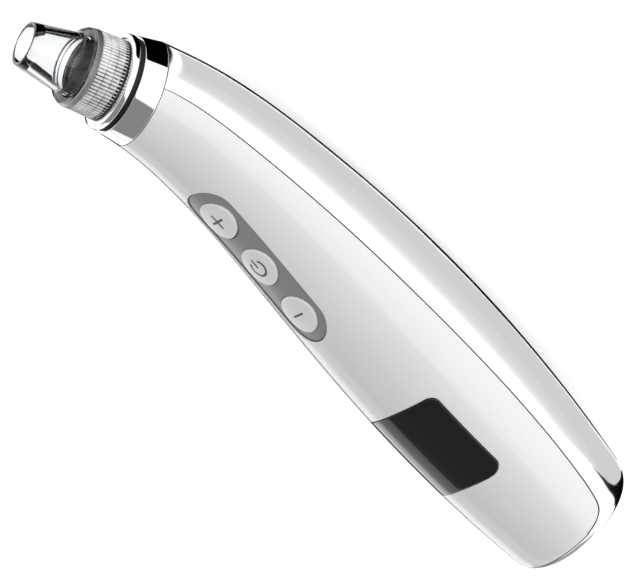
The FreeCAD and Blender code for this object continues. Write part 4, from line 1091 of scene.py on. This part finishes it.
def make_cards():
    """Cards for the metal, the gloss and the clear tip: dark and grey on the floor, two upright beside it.
    The grey cards along the back and the black cards under the head and the body are painted shadow of the
    floor, seen only in reflections.
    """
    near_edge = [(62, -38, 1), (20, -34, 1), (-23, -38, 1), (-88, -42, 1), (-98, -39.5, 0.4), (-104, -36, 0)]
    far_edge = [
        (-106, -28), (-103, -13), (-99, -5), (-87, -9), (-62, -12), (-20, -13.6), (19, -10.9),
        (46, -8), (64, -4),
    ]
    for step, (shift, value) in enumerate(BACK_SHADES):
        band = [(x, y + shift * slide) for x, y, slide in near_edge] + far_edge
        studio_card(flat_piece("card_painted_shadow_along_back_%d" % step, band, 0.3 + 0.02 * step), value)
    under = [
        (66, -1), (46, -6.3), (19, -9.4), (-20, -12.2), (-41, -12.2), (-62, -10.6), (-82, -7.5), (-96, -2),
        (-96, 34), (66, 34),
    ]
    behind_tail = [
        (-94, -40.5), (-103, -42), (-112, -44), (-135, -20), (-125, 80), (-98, 80), (-100, -8), (-95, -35),
    ]
    # the black cards under the head and under the body are painted shadow of the floor, seen only in
    # reflections
    cards = [
        ("card_painted_shadow_under_head", [(66, -35), (110, -35), (110, 16), (66, 16)], 0.1, 0.0),
        ("card_painted_shadow_under_body", under, 0.2, 0.0),
        ("card_behind_tail", behind_tail, 0.1, 0.0),
        ("card_beside_front", [(110, 45), (110, 220), (-135, 220), (-135, 85), (-120, 45)], 0.1, 0.0),
    ]
    for name, corners, height, value in cards:
        studio_card(flat_piece(name, corners, height), value)
    studio_card(upright_piece("card_bright_side", (40, 300), (-260, 300), 0, 120), 1.9)
    studio_card(upright_piece("card_tail_strip", (-345, 12), (-217, 216), 0, 112), 0.35)
    studio_card(upright_piece("card_facing_side", (300, -400), (-600, -400), 0, 330), 2.0)
    glass = [
        ("glass_near", [(-200, -300), (300, -300), (300, 28), (-200, 28)]),
        ("glass_far", [(-200, 78), (300, 78), (300, 400), (-200, 400)]),
        ("glass_left", [(-200, 28), (42, 28), (42, 78), (-200, 78)]),
        ("glass_right", [(98, 28), (300, 28), (300, 78), (98, 78)]),
    ]
    for name, corners in glass:
        studio_card(flat_piece(name, corners, 0.4), 0.0, through_glass=True)


def upright_piece(name, start, end, low, high):
    """An upright sheet between two x, y points."""
    corners = [(*start, low), (*end, low), (*end, high), (*start, high)]
    mesh = bpy.data.meshes.new(name)
    mesh.from_pydata([tuple(value * MM for value in corner) for corner in corners], [], [(0, 1, 2, 3)])
    piece = bpy.data.objects.new(name, mesh)
    bpy.context.scene.collection.objects.link(piece)
    return piece


# ---------------------------------------------------------------- the model

def place_piece(piece, body, slot, materials, *replaced):
    """Put a finished piece on its body and hide the CAD nodes that it stands for. The slot is not used."""
    dress(piece, *materials)
    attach(piece, body)
    if replaced:
        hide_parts(*replaced)


def build():
    looks = build_materials()
    dress_cad_nodes(looks)
    # the groove material is near-black painted shade: the shells' rim walls, the ring's groove and the tip's
    # rear notches
    groove = looks["groove"]
    shells = ((front_shell(), "white_shell", "front_shell"), (rear_shell(), "silver_shell", "rear_shell"))
    for piece, slot, node in shells:
        place_piece(piece, "handle", slot, [looks[slot], groove], node)
    place_piece(head_ring(), "handle", "chrome_ring", [looks["chrome_ring"], groove], "head_ring")
    place_piece(window_lens(), "handle", "black_lens", [looks["black_lens"]], "display_window")
    place_piece(filter_sponge(), "handle", "sponge_grey", [looks["sponge_grey"]], "filter_sponge")
    seal_looks = [looks["black_rubber"], looks["clear_silicone"]]
    place_piece(tip_seal(), "handle", "black_rubber", seal_looks, "tip_seal")
    tip_looks = [
        looks["clear_plastic"], looks["clear_rib"], looks["clear_groove_painted_shade"], looks["clear_shoulder"], groove,
    ]
    place_piece(suction_tip(), "tip", "clear_plastic", tip_looks, "suction_tip")
    signs = symbols()
    for number, name in ((1, "plus"), (0, "power"), (-1, "minus")):
        cap = button("button_cap_" + name, BUTTON_MIDDLE_X + BUTTON_PITCH * number)
        body = name + "_key"
        place_piece(cap, body, "button_grey", [looks["button_grey"]], "button_" + name)
        place_piece(signs[name], body, "button_grey", [looks["button_sign"]])


make_camera()
make_light()
make_floor()
make_cards()
build()
